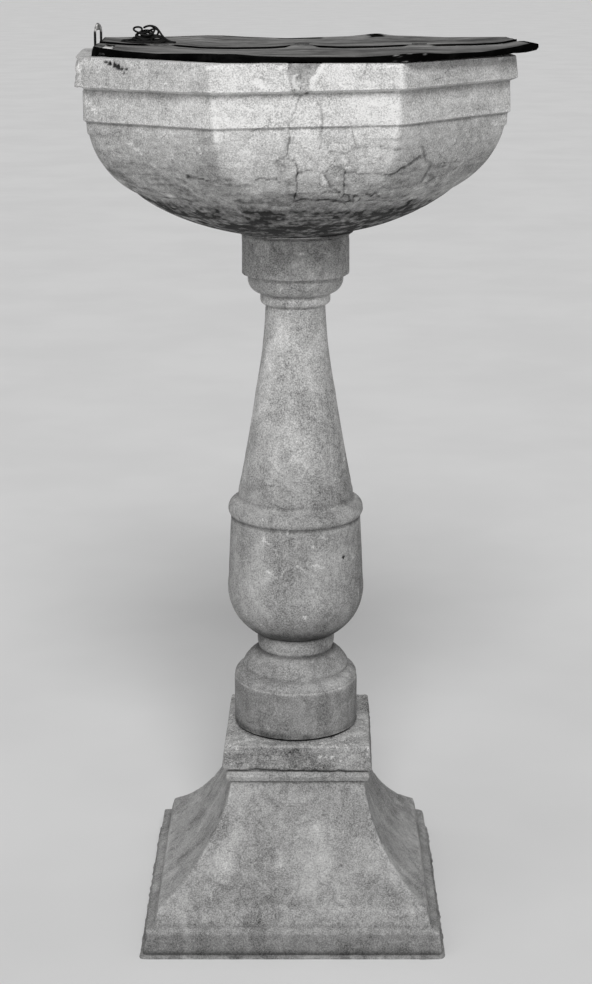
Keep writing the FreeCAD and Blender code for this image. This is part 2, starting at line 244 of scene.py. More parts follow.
UPRIGHT_STREAKS = (1.0, 1.0, 0.22)
BOWL_STONE = stone_material("stone_bowl", 0.58)
SHAFT_STONE = stone_material("stone_shaft", 0.3, mottle=0.32, grain=0.44, crack=0.15,
                             bedding=UPRIGHT_STREAKS)
SLAB_STONE = stone_material("stone_slab", 0.42, mottle=0.4, grain=0.56, bumpy=0.9, crack=0.1)
BLOCK_STONE = stone_material("stone_base", 0.295, mottle=0.34, grain=0.42, crack=0.12,
                             bedding=UPRIGHT_STREAKS)
MORTAR = stone_material("mortar", 0.26, mottle=0.4, grain=0.3, bumpy=0.9, crack=0.0)
REPAIR = stone_material("repair_mortar", 0.5, mottle=0.5, grain=0.35, stain=0.6, bumpy=1.0,
                        crack=0.0)
# the sheet's grey is a painted sheen: the black iron seen at a grazing angle; its turned-down edges
# are painted back to black
SHEET_IRON = iron_material("sheet_iron", 0.16, stretch=(0.3, 0.9, 1.0), rough=0.66,
                           metallic=0.0, streak=0.9, specular=0.05)
HINGE_IRON = iron_material("hinge_iron", 0.05, rough=0.5)
IRON = iron_material("iron", 0.05, rough=0.55)
WORN_IRON = iron_material("worn_iron", 0.02, rough=0.7, metallic=0.0, worn=42.0, specular=0.08)
LEAD = lead_material()
CORD = cord_material()


# ---- cord heaped on the rear leaf ----

CORD_RADIUS = 1.25
HEAP = (-178.0, 48.0)
LID_TOP = 1107.0

# A loop: centre east, north and up from the heap's foot, two radii, tilt and heading in
# degrees.  The heap passes from one to the next in one turn.
LOOPS = (
    (-24.0, -5.0, 2.4, 11.0, 8.5, 6.0, -10.0),
    (-23.0, -3.0, 3.6, 12.0, 8.5, 14.0, 0.0),
    (-4.0, -7.0, 1.8, 18.0, 9.0, 3.0, 10.0),
    (9.0, 3.0, 2.4, 14.0, 11.0, 6.0, 40.0),
    (-10.0, 4.0, 3.4, 17.0, 9.0, 8.0, -20.0),
    (11.0, -11.0, 3.8, 8.5, 6.5, 34.0, -5.0),
    (10.0, -12.0, 5.2, 7.5, 6.5, 46.0, 5.0),
    (-15.0, -3.0, 4.6, 15.0, 8.5, 18.0, 0.0),
    (2.0, 2.0, 6.0, 14.0, 9.0, 16.0, 30.0),
    (-13.0, -1.0, 5.6, 15.0, 8.5, 16.0, 10.0),
    (8.0, -6.0, 5.6, 11.0, 8.0, 28.0, -15.0),
    (-11.0, -3.0, 8.0, 10.0, 8.0, 28.0, 10.0),
    (-4.0, -3.0, 9.4, 9.5, 7.0, 34.0, 25.0),
    (-9.0, 1.0, 10.4, 9.0, 7.5, 30.0, -20.0),
    (-5.0, -2.0, 11.4, 9.5, 7.0, 34.0, 0.0),
    (1.0, 1.0, 12.4, 9.5, 8.0, 36.0, 5.0),
)
# The last turns stand up: over the heap, round a small loop on the left, back along the
# front, over the top and down to the right, where the end doubles back.
TAIL = (
    (10.5, 6.5, 15.6), (6.0, 7.5, 17.8), (0.5, 4.0, 16.0), (-4.0, -1.5, 13.2), (-9.0, -5.0, 12.2),
    (-14.0, -5.5, 13.4), (-18.0, -4.0, 15.0), (-20.5, -0.5, 17.2), (-19.0, 3.5, 19.4),
    (-14.5, 5.0, 20.0), (-10.4, 3.2, 18.8), (-9.4, -1.0, 16.4), (-11.5, -5.5, 13.4),
    (-9.5, -9.5, 11.0), (-4.0, -10.5, 9.8), (1.5, -9.5, 10.6), (5.5, -7.0, 13.4),
    (6.5, -3.0, 17.0), (4.5, 1.5, 20.0), (0.0, 4.5, 21.4), (-5.0, 4.0, 20.6), (-7.6, 0.5, 19.0),
    (-6.0, -3.0, 19.6), (-1.5, -4.5, 21.6), (4.0, -5.0, 21.6), (9.0, -6.0, 19.4),
    (12.5, -7.5, 14.8), (16.0, -9.0, 9.6), (20.0, -11.5, 5.6), (25.0, -14.0, 3.0),
    (30.0, -14.5, 1.7), (32.8, -11.0, 1.5), (31.0, -6.8, 1.5), (25.5, -4.5, 1.6),
    (19.5, -4.0, 2.0),
)


def heap_points():
    per_turn = 14
    keys = np.array(LOOPS)
    count = (len(LOOPS) - 1) * per_turn
    heap = []
    for step in range(count + 1):
        turn = step / per_turn
        east, north, up, wide, deep, tilt, heading = [
            np.interp(turn, range(len(LOOPS)), keys[:, column]) for column in range(7)]
        angle = 2 * math.pi * turn
        across, along = wide * math.cos(angle), deep * math.sin(angle)
        lean, aim = math.radians(tilt), math.radians(heading)
        flat, rise = along * math.cos(lean), along * math.sin(lean)
        x = east + across * math.cos(aim) - flat * math.sin(aim)
        y = north + across * math.sin(aim) + flat * math.cos(aim)
        heap.append((x, y, max(up + rise, CORD_RADIUS + 0.2)))
    return heap + list(TAIL)


def make_cord():
    route = [(HEAP[0] + x, HEAP[1] + y, LID_TOP + z) for x, y, z in heap_points()]
    data = bpy.data.curves.new("lid_cord_strand", "CURVE")
    data.dimensions = "3D"
    data.bevel_depth = CORD_RADIUS * MM
    data.bevel_resolution = 3
    data.use_fill_caps = True
    data.resolution_u = 4
    spline = data.splines.new("NURBS")
    spline.points.add(len(route) - 1)
    for point, place in zip(spline.points, route):
        point.co = (place[0] * MM, place[1] * MM, place[2] * MM, 1.0)
    spline.order_u = 3
    spline.use_endpoint_u = True
    strand = bpy.data.objects.new("lid_cord_strand", data)
    bpy.context.scene.collection.objects.link(strand)
    data.materials.append(CORD)
    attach(strand, "lid_rear")
    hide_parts("lid_cord")
    start = [c * MM for c in route[0]]


# ---- numbers for shapes ----

RANDOM = np.random.default_rng(17).uniform(-1.0, 1.0, 65536)


def smooth(low, high, value):
    share = np.clip((value - low) / (high - low), 0.0, 1.0)
    return share * share * (3 - 2 * share)


def bell(value, centre, width):
    """1 at the centre, falling off on both sides within about the width."""
    return np.exp(-((value - centre) / width) ** 2)


def value_noise(places, scale, seed):
    """Smooth random values between -1 and 1, one for each point, on cells of that many mm."""
    where = places / scale
    cell = np.floor(where).astype(np.int64)
    part = where - cell
    part = part * part * part * (part * (part * 6 - 15) + 10)
    total = np.zeros(places.shape[:-1])
    for dx in (0, 1):
        for dy in (0, 1):
            for dz in (0, 1):
                key = ((cell[..., 0] + dx) * 73856093 ^ (cell[..., 1] + dy) * 19349663
                       ^ (cell[..., 2] + dz) * 83492791 ^ seed * 2654435761) & 0xFFFFFFFF
                key = (key ^ (key >> 15)) * 2246822519 & 0xFFFFFFFF
                value = RANDOM[(key ^ (key >> 13)) & 65535]
                weight = (part[..., 0] if dx else 1 - part[..., 0])
                weight = weight * (part[..., 1] if dy else 1 - part[..., 1])
                weight = weight * (part[..., 2] if dz else 1 - part[..., 2])
                total += value * weight
    return total


def fractal(places, scale, seed, octaves=4):
    total = 0.0
    strength = 0.0
    for octave in range(octaves):
        total = total + value_noise(places, scale / 2 ** octave, seed + octave) * 0.55 ** octave
        strength += 0.55 ** octave
    return total / strength


def arc(start, middle, end, count):
    """Points on the circle through three points, without the first."""
    (ax, ay), (bx, by), (cx, cy) = start, middle, end
    d = 2 * (ax * (by - cy) + bx * (cy - ay) + cx * (ay - by))
    ux = ((ax**2 + ay**2) * (by - cy) + (bx**2 + by**2) * (cy - ay)
          + (cx**2 + cy**2) * (ay - by)) / d
    uy = ((ax**2 + ay**2) * (cx - bx) + (bx**2 + by**2) * (ax - cx)
          + (cx**2 + cy**2) * (bx - ax)) / d
    radius = math.hypot(ax - ux, ay - uy)
    first, mid, last = [math.atan2(y - uy, x - ux) for x, y in (start, middle, end)]
    sweep = (last - first) % (2 * math.pi)
    if (mid - first) % (2 * math.pi) > sweep:
        sweep -= 2 * math.pi
    angles = first + sweep * np.arange(1, count + 1) / count
    return [(ux + radius * math.cos(a), uy + radius * math.sin(a)) for a in angles]


def profile(start, *steps):
    """A line of points through straight steps (x, z) and arcs (mid x, mid z, x, z)."""
    line = [start]
    for step in steps:
        if len(step) == 4:
            line += arc(line[-1], step[:2], step[2:], 24)
        else:
            line.append(step)
    return line


def spaced(line, gap):
    """The same line with points about a gap apart, keeping its corners."""
    dense = [line[0]]
    for start, end in zip(line, line[1:]):
        count = max(1, round(math.dist(start, end) / gap))
        for index in range(1, count + 1):
            share = index / count
            dense.append(tuple(s + (e - s) * share for s, e in zip(start, end)))
    return np.array(dense)


def wrap_angles(parts):
    """Column angles in degrees: each part is (from, to, count)."""
    angles = []
    for low, high, count in parts:
        angles += list(low + (high - low) * np.arange(count) / count)
    return np.radians(np.array(angles))


def polygon_radius(angles, half, sides, sharp):
    """Distance to a regular polygon with its corners worn round; sharp is how crisp they are."""
    total = 0.0
    for side in range(sides):
        facing = np.cos(angles - 2 * math.pi * side / sides)
        total = total + np.maximum(facing, 0.0) ** sharp
    return half * total ** (-1.0 / sharp)


def grid_normals(grid):
    """Outward normals of a grid whose columns run anticlockwise and rows upward."""
    across = np.roll(grid, -1, axis=1) - np.roll(grid, 1, axis=1)
    up = np.empty_like(grid)
    up[1:-1] = grid[2:] - grid[:-2]
    up[0] = grid[1] - grid[0]
    up[-1] = grid[-1] - grid[-2]
    normal = np.cross(across, up)
    return normal / np.maximum(np.linalg.norm(normal, axis=2, keepdims=True), 1e-9)


def line_distance(x, z, line):
    """Distance in the plane from each (x, z) to a bent line."""
    best = np.full(x.shape, 1e9)
    for (ax, az), (bx, bz) in zip(line, line[1:]):
        dx, dz = bx - ax, bz - az
        share = np.clip(((x - ax) * dx + (z - az) * dz) / (dx * dx + dz * dz), 0, 1)
        best = np.minimum(best, np.hypot(x - ax - share * dx, z - az - share * dz))
    return best


def stroke(x, z, line, solid, faint):
    """1 along a bent line as far as solid, 0 from faint outward."""
    return 1 - smooth(solid, faint, line_distance(x, z, line))


def dent(x, z, east, up, radius, ragged=0.0):
    """1 in the middle of a round dent, falling to 0 at its edge; ragged roughens the edge."""
    away = np.hypot(x - east, z - up) / radius + ragged
    return np.clip(1 - away * away, 0, 1)


def ruled(tone, z, lines):
    """The tone with level lines across it: each is a height, a width and how light it is."""
    for height, width, light in lines:
        tone = tone + light * bell(z, height, width)
    return tone


def points(x, y, z):
    return np.stack(np.broadcast_arrays(x, y, z), axis=-1)


def make_object(name, places, faces, body, material, replaced, attributes):
    mesh = bpy.data.meshes.new(name)
    mesh.from_pydata((places * MM).tolist(), [], faces)
    mesh.update()
    for face in mesh.polygons:
        face.use_smooth = True
    mesh.set_sharp_from_angle(angle=math.radians(35))
    for key, values in attributes.items():
        layer = mesh.attributes.new(key, "FLOAT", "POINT")
        layer.data.foreach_set("value", values.astype(np.float32))
    mesh.materials.append(material)
    piece = bpy.data.objects.new(name, mesh)
    bpy.context.scene.collection.objects.link(piece)
    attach(piece, body)
    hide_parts(*replaced)
    return piece


def closed_form(name, grid, tone, material, replaced, body="root"):
    """A solid from stacked rings of points, closed by a fan at each end."""
    rows, columns = grid.shape[:2]
    places = grid.reshape(-1, 3)
    ends = np.array([grid[0].mean(0), grid[-1].mean(0)])
    places = np.concatenate([places, ends])
    tones = np.concatenate([tone.ravel(), [tone[0].mean(), tone[-1].mean()]])
    faces = []
    for row in range(rows - 1):
        low, high = row * columns, (row + 1) * columns
        for column in range(columns):
            after = (column + 1) % columns
            faces.append((low + column, low + after, high + after, high + column))
    last = (rows - 1) * columns
    for column in range(columns):
        after = (column + 1) % columns
        faces.append((rows * columns, after, column))
        faces.append((rows * columns + 1, last + column, last + after))
    return make_object(name, places, faces, body, material, replaced, {"tone": tones})


def turn_about_z(grid, degrees):
    angle = math.radians(degrees)
    turned = grid.copy()
    turned[..., 0] = grid[..., 0] * math.cos(angle) - grid[..., 1] * math.sin(angle)
    turned[..., 1] = grid[..., 0] * math.sin(angle) + grid[..., 1] * math.cos(angle)
    return turned


# ---- heights and places of the stones ----

BLOCK_BOTTOM = 4.0
BLOCK_TOP = 202.4
SLAB_BOTTOM = 205.0
SLAB_TOP = 237.8
SHAFT_BOTTOM = 240.4
SHAFT_TOP = 875.0
BOWL_BOTTOM = 877.5
RIM = 1099.0
RIM_SHOULDER = RIM - 2.2
SLAB_X = 7.0
SHAFT_X = 3.5


# ---- bowl ----

BOWL_RADIUS = 250.0
BOWL_TURN = 3.7
BAND_LEAN = math.radians(1.0)
LEAN_Z = 1066.0
CURVE_TOP = 1026.0
CURVE_DEPTH = 153.0
BAND_LOW = 1068.3
BAND_HALF = 262.5
BASIN_RADIUS = 205.0
BASIN_DEPTH = 165.0
OCTAGON_ANGLES = [(-112.5, -67.5, 172), (-67.5, -22.5, 100), (-22.5, 22.5, 38),
                  (22.5, 157.5, 54), (157.5, 202.5, 38), (202.5, 247.5, 100)]

# Cracks and marks on the front of the bowl, as (east, up)
CRACKS = (
    ((9, 1062), (4, 1048), (-1, 1036), (-3, 1028), (-3, 1016), (-5, 1003), (-6, 995)),
    ((0.6, 1069.8), (8.7, 1061.8), (14.4, 1065.3), (23.6, 1067.5)),
    ((-18, 987), (-6, 993), (3, 989), (6, 981), (6, 975), (5, 956), (2, 944)),
    ((25, 1058), (32, 1052), (34, 1041), (34, 1029), (33, 1016), (32, 1003)),
    ((66, 1022), (70, 1011), (71, 1005), (79, 1004), (92, 1006), (104, 1004), (120, 1003)),
    ((44, 1000), (62, 998), (70, 1004)),
    ((6, 974), (18, 978), (32, 977), (37, 972), (38, 967), (43, 956), (54, 952)),
    ((37, 976), (48, 982), (59, 981), (59, 965), (59, 948)),
    ((59, 974), (76, 973), (103, 973), (110, 971), (120, 976), (146, 990)),
    ((1, 941), (20, 942), (34, 940), (50, 942)),
    ((-42, 966), (-34, 968.5), (-26, 966.5), (-16, 968)), ((-118, 968), (-90, 965), (-66, 967)),
    ((149, 1001), (153, 988), (160, 979), (153, 963), (149, 957)),
    ((68, 941), (70, 946), (75, 946), (78, 941), (75, 936), (70, 936), (68, 941)),
    ((56, 943), (59, 947), (64, 946), (65, 940), (60, 937)),
    ((84, 948), (90, 944), (95, 948), (100, 943)),
)
SCRATCHES = (
    ((-165, 979), (-132, 961), (-120, 953), (-108, 942)),
    ((-85, 943), (-61, 925), (-44, 912)),
    ((143, 949), (163, 953), (175, 961), (193, 965), (202, 978)),
)
# A chip: east, up, radius, depth, tone
CHIPS = (
    (-252, 1094, 9, 4.0, 0.35), (-251, 1078, 8, 3.5, 0.35), (-246, 1064, 6, 2.5, 0.3),
    (-92, 1096, 5, 2.4, 0.3), (-83, 1098, 4, 2.0, 0.3), (-12, 1097, 4, 2.0, 0.3),
    (108, 1097, 5, 2.2, 0.35), (118, 1096, 4, 2.0, 0.35), (128, 1095, 3, 1.6, 0.3),
    (-36, 1079, 4, 0.8, 0.4), (-33, 1074, 3, 0.6, 0.4), (-40, 1080, 3, 0.6, 0.35),
    (-237, 1048, 5, 1.8, 0.4), (-232, 1042, 3, 1.2, 0.4), (-228, 1037, 3, 1.2, 0.35),
    (-140, 1075, 2.4, 0.6, 0.4), (-70, 1061, 2.6, 0.6, 0.5), (-7, 1061, 2.8, 0.6, 0.5),
    (41, 1059, 2.2, 0.5, 0.4), (147, 1082, 2.6, 0.8, 0.4), (245, 1094, 4, 1.5, 0.35),
    (238, 1020, 4, 1.5, 0.3), (-186, 1003, 4, 0.7, 0.4), (-180, 995, 4, 0.7, 0.4),
    (-174, 990, 3, 0.6, 0.35), (59, 989, 2.0, 0.4, 0.5), (35, 966, 2.2, 0.4, 0.45),
    (37, 961, 1.8, 0.3, 0.45), (28, 955, 1.8, 0.3, 0.45), (60, 952, 1.8, 0.3, 0.4),
    (74, 958, 1.8, 0.3, 0.4), (64, 980, 1.6, 0.3, 0.4),
    (21, 1083, 4.5, 0.8, 0.45), (26, 1090, 4.5, 0.8, 0.45), (18, 1077, 3.0, 0.8, 0.4),
    (-247, 1086, 5, 2.0, 0.4), (-15, 1091, 3, 0.8, 0.35),
)
# A pit: east, up, radius
PITS = ((-203, 1091, 3.6), (-198.5, 1090, 3.2), (-194, 1088.4, 2.2), (-209, 1093, 2.4),
        (-214, 1094.6, 1.9), (-188, 1088, 1.7), (-191.5, 1084, 1.8))
# Flakes of lime, as thin pale strokes
FLAKES = (
    ((57, 991), (61, 987)), ((35, 972), (38, 966), (33, 958)), ((25, 1054.5), (26.5, 1057)),
    ((-37, 1080), (-33, 1079), (-31, 1073.6)), ((59, 982), (66, 980)), ((-84, 1012), (-79, 1011)),
    ((-62, 985), (-58, 987)), ((-104, 1003), (-102, 997)), ((11, 1025), (20, 1024)),
    ((-6, 1026), (-1, 1024)), ((-52, 1000), (-47, 1001)), ((17, 1003), (22, 1004)),
)
# The mortar repair in the rim: its left and right edges at each height, in the bowl's own frame
REPAIR_LOW = 1068.6
REPAIR_LEFT = ((REPAIR_LOW, -14.0), (1075, -18.2), (1085, -19.6), (RIM, -21.5))
REPAIR_RIGHT = ((REPAIR_LOW, 2.0), (1072, 3.6), (1080, 3.0), (1088, 8.0), (RIM, 17.0))


def bowl_rows():
    """Heights up the outside, before the lean, with the half width of the octagon and the
    radius of the round that melts its corners."""
    foot = [(72.0, BOWL_BOTTOM), (72.0, 879.4)]
    low = math.acos(72.0 / BOWL_RADIUS)
    high = math.acos(200.0 / BOWL_RADIUS)
    under = [(BOWL_RADIUS * math.cos(a), CURVE_TOP - CURVE_DEPTH * math.sin(a))
             for a in np.linspace(low, high, 30)]
    round_line = np.array(foot + under[1:] + arc(under[-1], (248, 972), (273, 1012), 20)
                          + [(300.0, 1013.0), (300.0, 1200.0)])
    sides = profile((201.5, 860.0), (201.5, 934.0), (237.5, 975.0, BOWL_RADIUS, CURVE_TOP),
                    (253.5, 1028.4), (253.0, 1064.5), (BAND_HALF, BAND_LOW),
                    (260.3, RIM_SHOULDER))
    side_line = np.array(sides)
    shape = spaced(foot + under[1:] + [tuple(p) for p in sides if p[1] > 936], 2.05)
    heights = np.maximum.accumulate(shape[:, 1] + np.arange(len(shape)) * 1e-6)
    half = np.interp(heights, side_line[:, 1], side_line[:, 0])
    melt = np.interp(heights, round_line[:, 1], round_line[:, 0])
    return heights, half, melt


def bowl_grid():
    angles = wrap_angles(OCTAGON_ANGLES)
    heights, half, melt = bowl_rows()
    across = np.broadcast_to(angles, (len(heights), len(angles)))
    ring = points(BOWL_RADIUS * np.cos(across), BOWL_RADIUS * np.sin(across),
                  heights[:, None])
    crisp = 150 + 80 * value_noise(ring, 26.0, 5)
    flat = polygon_radius(across, half[:, None], 8, crisp)
    radius = (flat ** -40.0 + melt[:, None] ** -40.0) ** (-1 / 40.0)
    x, y = radius * np.cos(across), radius * np.sin(across)
    z = ring[..., 2]
    tall = z - LEAN_Z
    x_lean = x * math.cos(BAND_LEAN) - tall * math.sin(BAND_LEAN)
    z_lean = LEAN_Z + x * math.sin(BAND_LEAN) + tall * math.cos(BAND_LEAN)
    band = BAND_LOW + x * math.sin(BAND_LEAN)
    share = np.clip((z - BAND_LOW) / (RIM_SHOULDER - BAND_LOW), 0, 1)
    z_top = band + share * (RIM_SHOULDER - band)
    z_lean = np.where(z > BAND_LOW, z_top, z_lean)
    z_lean[0] = BOWL_BOTTOM
    z_lean = np.maximum(z_lean, BOWL_BOTTOM)
    return angles, points(x_lean, y, z_lean)


def rim_and_basin(angles, edge):
    """Rings from the outer edge over the rim and down the basin."""
    rings = []
    outer = np.hypot(edge[:, 0], edge[:, 1])
    for inset, rise in ((0.5, 1.3), (1.6, 2.0), (3.4, 2.2)):
        rings.append((outer - inset, RIM_SHOULDER + rise))
    for share in (0.2, 0.45, 0.7, 0.9):
        rings.append(((outer - 3.4) * (1 - share) + 208.5 * share, RIM))
    rings += [(207.0, RIM - 0.3), (205.6, RIM - 1.4)]
    for step in range(1, 15):
        slope = math.radians(88.5) * (step / 14) ** 0.9
        rings.append((BASIN_RADIUS * math.cos(slope), RIM - BASIN_DEPTH * math.sin(slope)))
    return np.array([points(r * np.cos(angles), r * np.sin(angles), z) for r, z in rings])


def edge_line(z, line):
    heights, places = zip(*line)
    return np.interp(z, heights, places)


def in_repair(x, z):
    """How far inside the repair a point is, in the bowl's own frame."""
    inside = np.minimum(x - edge_line(z, REPAIR_LEFT), edge_line(z, REPAIR_RIGHT) - x)
    return np.minimum(inside, z - REPAIR_LOW)


def bowl_bands(grid, lean_up, outer, depth, tone):
    """Painted shade under each band, and a light worn edge on each."""
    z = grid[..., 2]
    # the two dark lines are painted shade under the overhanging lower edges of the bands
    tone = ruled(tone, np.where(outer, lean_up, 0.0), ((1064.6, 1.1, -0.3), (1026.6, 1.1, -0.35)))
    for height in (1069.0, 1029.0):
        edge = bell(lean_up, height, 1.6) * outer
        nibble = smooth(0.15, 0.55, fractal(grid, 14.0, 51, 3))
        depth -= edge * nibble * 1.6
        tone = tone + 0.16 * edge * (0.4 + nibble)
    tone = tone + 0.10 * outer * smooth(RIM - 7, RIM, z)
    tone = tone + outer * (0.08 * (lean_up > 1068) + 0.14 * ((lean_up < 1068) & (lean_up > 1027)))
    lip = smooth(RIM - 5, RIM, z) * outer
    depth -= lip * 1.8 * smooth(0.2, 0.6, fractal(grid, 11.0, 61, 3))
    return depth, tone


def bowl_underside(grid, own, angles, lean_up, outer, blotch, tone):
    """Painted shade darkening the underside towards the bottom, with grime in streaks that run down
    the curve; painted shade on the cheeks, painted light on the front and a light worn arris.
    """
    y, z = grid[..., 1], grid[..., 2]
    around = points(angles * BOWL_RADIUS * 0.16, z, 0.0)
    streaks = fractal(around, 6.0, 71, 4)
    below = outer * (lean_up < CURVE_TOP)
    # painted shade: the underside darkens towards the bottom, where it faces down, with some grime in
    # it
    low = smooth(1000, 905, z) * outer
    tone = tone - 0.48 * low - 0.14 * smooth(960, 920, z) * outer
    tone = tone - 0.28 * smooth(940, 914, z) * outer
    mottle = 0.3 * streaks + 0.26 * blotch + 0.3 * fractal(grid, 5.0, 77, 2)
    tone = tone + below * mottle * (0.4 + 0.75 * low)
    contour = fractal(around * np.array([0.6, 1.0, 1.0]), 15.0, 79, 3)
    tone = tone - 0.36 * below * bell(contour, 0.0, 0.06) * smooth(1000, 950, z)
    facing = np.degrees(np.arctan2(own[..., 1], own[..., 0]))
    # the cheeks get painted shade and the front face painted light, as the light falls from the front
    cheek = smooth(21.0, 24.0, np.abs(facing + 90.0)) * outer
    cheek *= smooth(935, 975, z)
    tone = tone - 0.16 * cheek + 0.06 * (1 - cheek) * (outer & (y < 20))
    arris = bell(np.abs(facing + 90.0), 21.9, 0.5) * outer * smooth(960, 1000, z)
    return tone + 0.22 * arris * (0.7 + blotch)


def bowl_marks(grid, front, blotch, depth, tone):
    """Cracks, flakes, scratches, chips, pits and a stain on the front."""
    x, _, z = np.moveaxis(grid, -1, 0)
    warp_x = x + 3.4 * fractal(grid, 13.0, 81, 4)
    warp_z = z + 3.4 * fractal(grid, 13.0, 83, 4)
    coarse = 1 + 0.9 * smooth(100, 120, np.abs(x))
    faint = np.clip(1.0 + 0.5 * value_noise(grid, 14.0, 85), 0.6, 1.3)
    for line in CRACKS:
        away = line_distance(warp_x, warp_z, line)
        cut = (1 - smooth(0.35, 1.4, away / coarse)) * front * faint
        depth -= 0.4 * cut
        tone = tone - 0.46 * cut - 0.06 * (1 - smooth(1, 6, away)) * front
    for line in FLAKES:
        tone = tone + 0.6 * stroke(x, z, line, 0.5, 1.7) * front
    for line in SCRATCHES:
        tone = tone + 0.22 * stroke(warp_x, warp_z, line, 0.6, 2.2) * front
    ragged = fractal(grid, 4.5, 88, 2)
    for east, up, radius, deep, light in CHIPS:
        bite = dent(warp_x, warp_z, east, up, radius, 0.55 * ragged) * front
        depth -= deep * bite
        tone = tone + light * smooth(0.1, 0.5, bite)
    for east, up, radius in PITS:
        bite = dent(x, z, east, up, radius, 0.5 * ragged) * front
        depth -= 2.4 * bite
        tone = tone - 1.0 * smooth(0.05, 0.5, bite)
    stain = bell(x, -12, 18) * smooth(925, 945, z) * (1 - smooth(978, 1008, z))
    return depth, tone - 0.5 * stain * front * (0.35 + 1.2 * blotch)


def repair_seat(grid, own, rows, outside_rows, front, depth, tone):
    """The hollow that the repair fills, with its white edge and rubbed left side."""
    inside = in_repair(own[..., 0] + 2.6 * fractal(grid, 8.0, 93, 2), own[..., 2]) - 0.6
    patch = (inside > 0) & (own[..., 1] < -230) & (rows < outside_rows + 5)
    depth = np.where(patch, depth - 5.0, depth)
    beside = bell(inside, -3.6, 2.6) * front * (own[..., 0] > 1.0)
    tone = tone + 0.5 * beside * smooth(1068, 1072, own[..., 2]) * smooth(RIM, 1093, own[..., 2])
    rubbed = bell(inside, 0.0, 1.2) * front * (own[..., 0] < 0) * (own[..., 2] > 1062)
    return depth, tone - 0.5 * rubbed * (own[..., 2] < 1098)


def make_bowl():
    angles, outside = bowl_grid()
    own = np.concatenate([outside, rim_and_basin(angles, outside[-1])])
    grid = turn_about_z(own, BOWL_TURN)
    normals = grid_normals(grid)
    x, y, z = np.moveaxis(grid, -1, 0)
    rows = np.arange(len(grid))[:, None]
    outer = rows < len(outside)
    front = outer & (y < 20)
    lean_up = z - own[..., 0] * math.sin(BAND_LEAN)
    wobble = fractal(grid, 55.0, 11, 3)
    blotch = fractal(grid, 10.0, 75, 3)
    depth = -0.5 + 0.5 * wobble + 0.16 * fractal(grid, 9.0, 21, 3)
    depth -= 0.9 * smooth(0.42, 0.62, fractal(grid, 17.0, 31, 2))
    tone = 0.05 * fractal(grid, 70.0, 41, 3)
    depth, tone = bowl_bands(grid, lean_up, outer, depth, tone)
    tone = bowl_underside(grid, own, angles, lean_up, outer, blotch, tone)
    depth, tone = bowl_marks(grid, front, blotch, depth, tone)

    # the thin foot: painted shade where it meets the underside and towards its sides, painted light in
    # the middle of its front
    middle = smooth(48, 26, np.abs(x + 4))
    tone = np.where(rows == 0, 0.45 * middle - 0.5 * (1 - middle), tone)
    tone = np.where(rows == 1, tone - 0.5, tone)
    depth, tone = repair_seat(grid, own, rows, len(outside), front, depth, tone)

    # the basin is smoother, and the foot and the rim's top keep clear of their neighbours
    basin = rows >= len(outside) + 9
    depth = np.where(basin, 0.3 * wobble, depth)
    tone = np.where(basin, tone - 0.1, tone)
    depth = np.where(rows < 3, 0.0, depth)
    rim_top = (rows >= len(outside)) & ~basin
    depth = np.where(rim_top, np.minimum(depth, 0.0) * 0.6, depth)
    grid = grid + normals * depth[..., None]
    closed_form("bowl_stone", grid, tone, BOWL_STONE, ["bowl"])


def make_repair():
    """The V of rough mortar let into the rim."""
    heights = np.linspace(REPAIR_LOW + 0.2, RIM - 0.7, 44)
    rings = []
    for height in heights:
        left = edge_line(height, REPAIR_LEFT) - 2.4
        right = edge_line(height, REPAIR_RIGHT) + 2.4
        face = -(BAND_HALF - (height - BAND_LOW) * 0.08) + 0.9
        front = [(left + (right - left) * s, face) for s in np.linspace(0, 1, 40)]
        side = [(right, face + 20 * s) for s in (0.25, 0.5, 0.75, 1.0)]
        back = [(left, face + 20 * s) for s in (1.0, 0.75, 0.5, 0.25)]
        rings.append([(px, py, height) for px, py in front + side + back])
    grid = turn_about_z(np.array(rings), BOWL_TURN)
    lumps = fractal(grid, 6.0, 91, 4)
    grid[:, 1:39, 1] += 1.1 * (0.5 - lumps[:, 1:39])
    x, z = grid[..., 0], grid[..., 2]
    tone = 0.35 * lumps - 0.25 * smooth(1084, 1096, z) + 0.15 * smooth(1088, 1076, z)
    swirl = bell(np.hypot((x - 9) / 7, (z - 1079) / 8), 1.0, 0.15)
    tone = tone + 1.2 * swirl * smooth(10, 6, x)
    holes = smooth(0.25, 0.5, fractal(grid, 3.4, 97, 2)) * smooth(1076, 1071, z)
    tone = tone - 0.9 * holes
    closed_form("rim_repair_mortar", grid, tone, REPAIR, ["rim_repair"])


# ---- shaft ----

SHAFT_ANGLES = [(-165.0, -15.0, 168), (-15.0, 195.0, 60)]
SHAFT_PROFILE = (
    (79.2, SHAFT_BOTTOM), (79.2, 297.6), (78.6, 299.6), (75.7, 308.5, 66.8, 312.5), (67.6, 318.0),
    (59.4, 329.6, 46.9, 337.5), (49.2, 345.5, 49.6, 353.0), (49.6, 359.0),
    (76.0, 382.5, 86.5, 430.0), (82.4, 514.5), (86.0, 525.0, 76.0, 536.0), (73.4, 540.5),
    (73.0, 547.0), (60.0, 615.0, 50.5, 675.0), (42.2, 728.0, 37.8, 785.5),
    (42.6, 788.0, 44.2, 792.0), (44.2, 800.0), (56.3, 807.5, 60.0, 820.5), (60.0, 823.0),
    (66.4, 824.6), (67.4, 825.8), (67.4, SHAFT_TOP - 1.4), (66.4, SHAFT_TOP),
)
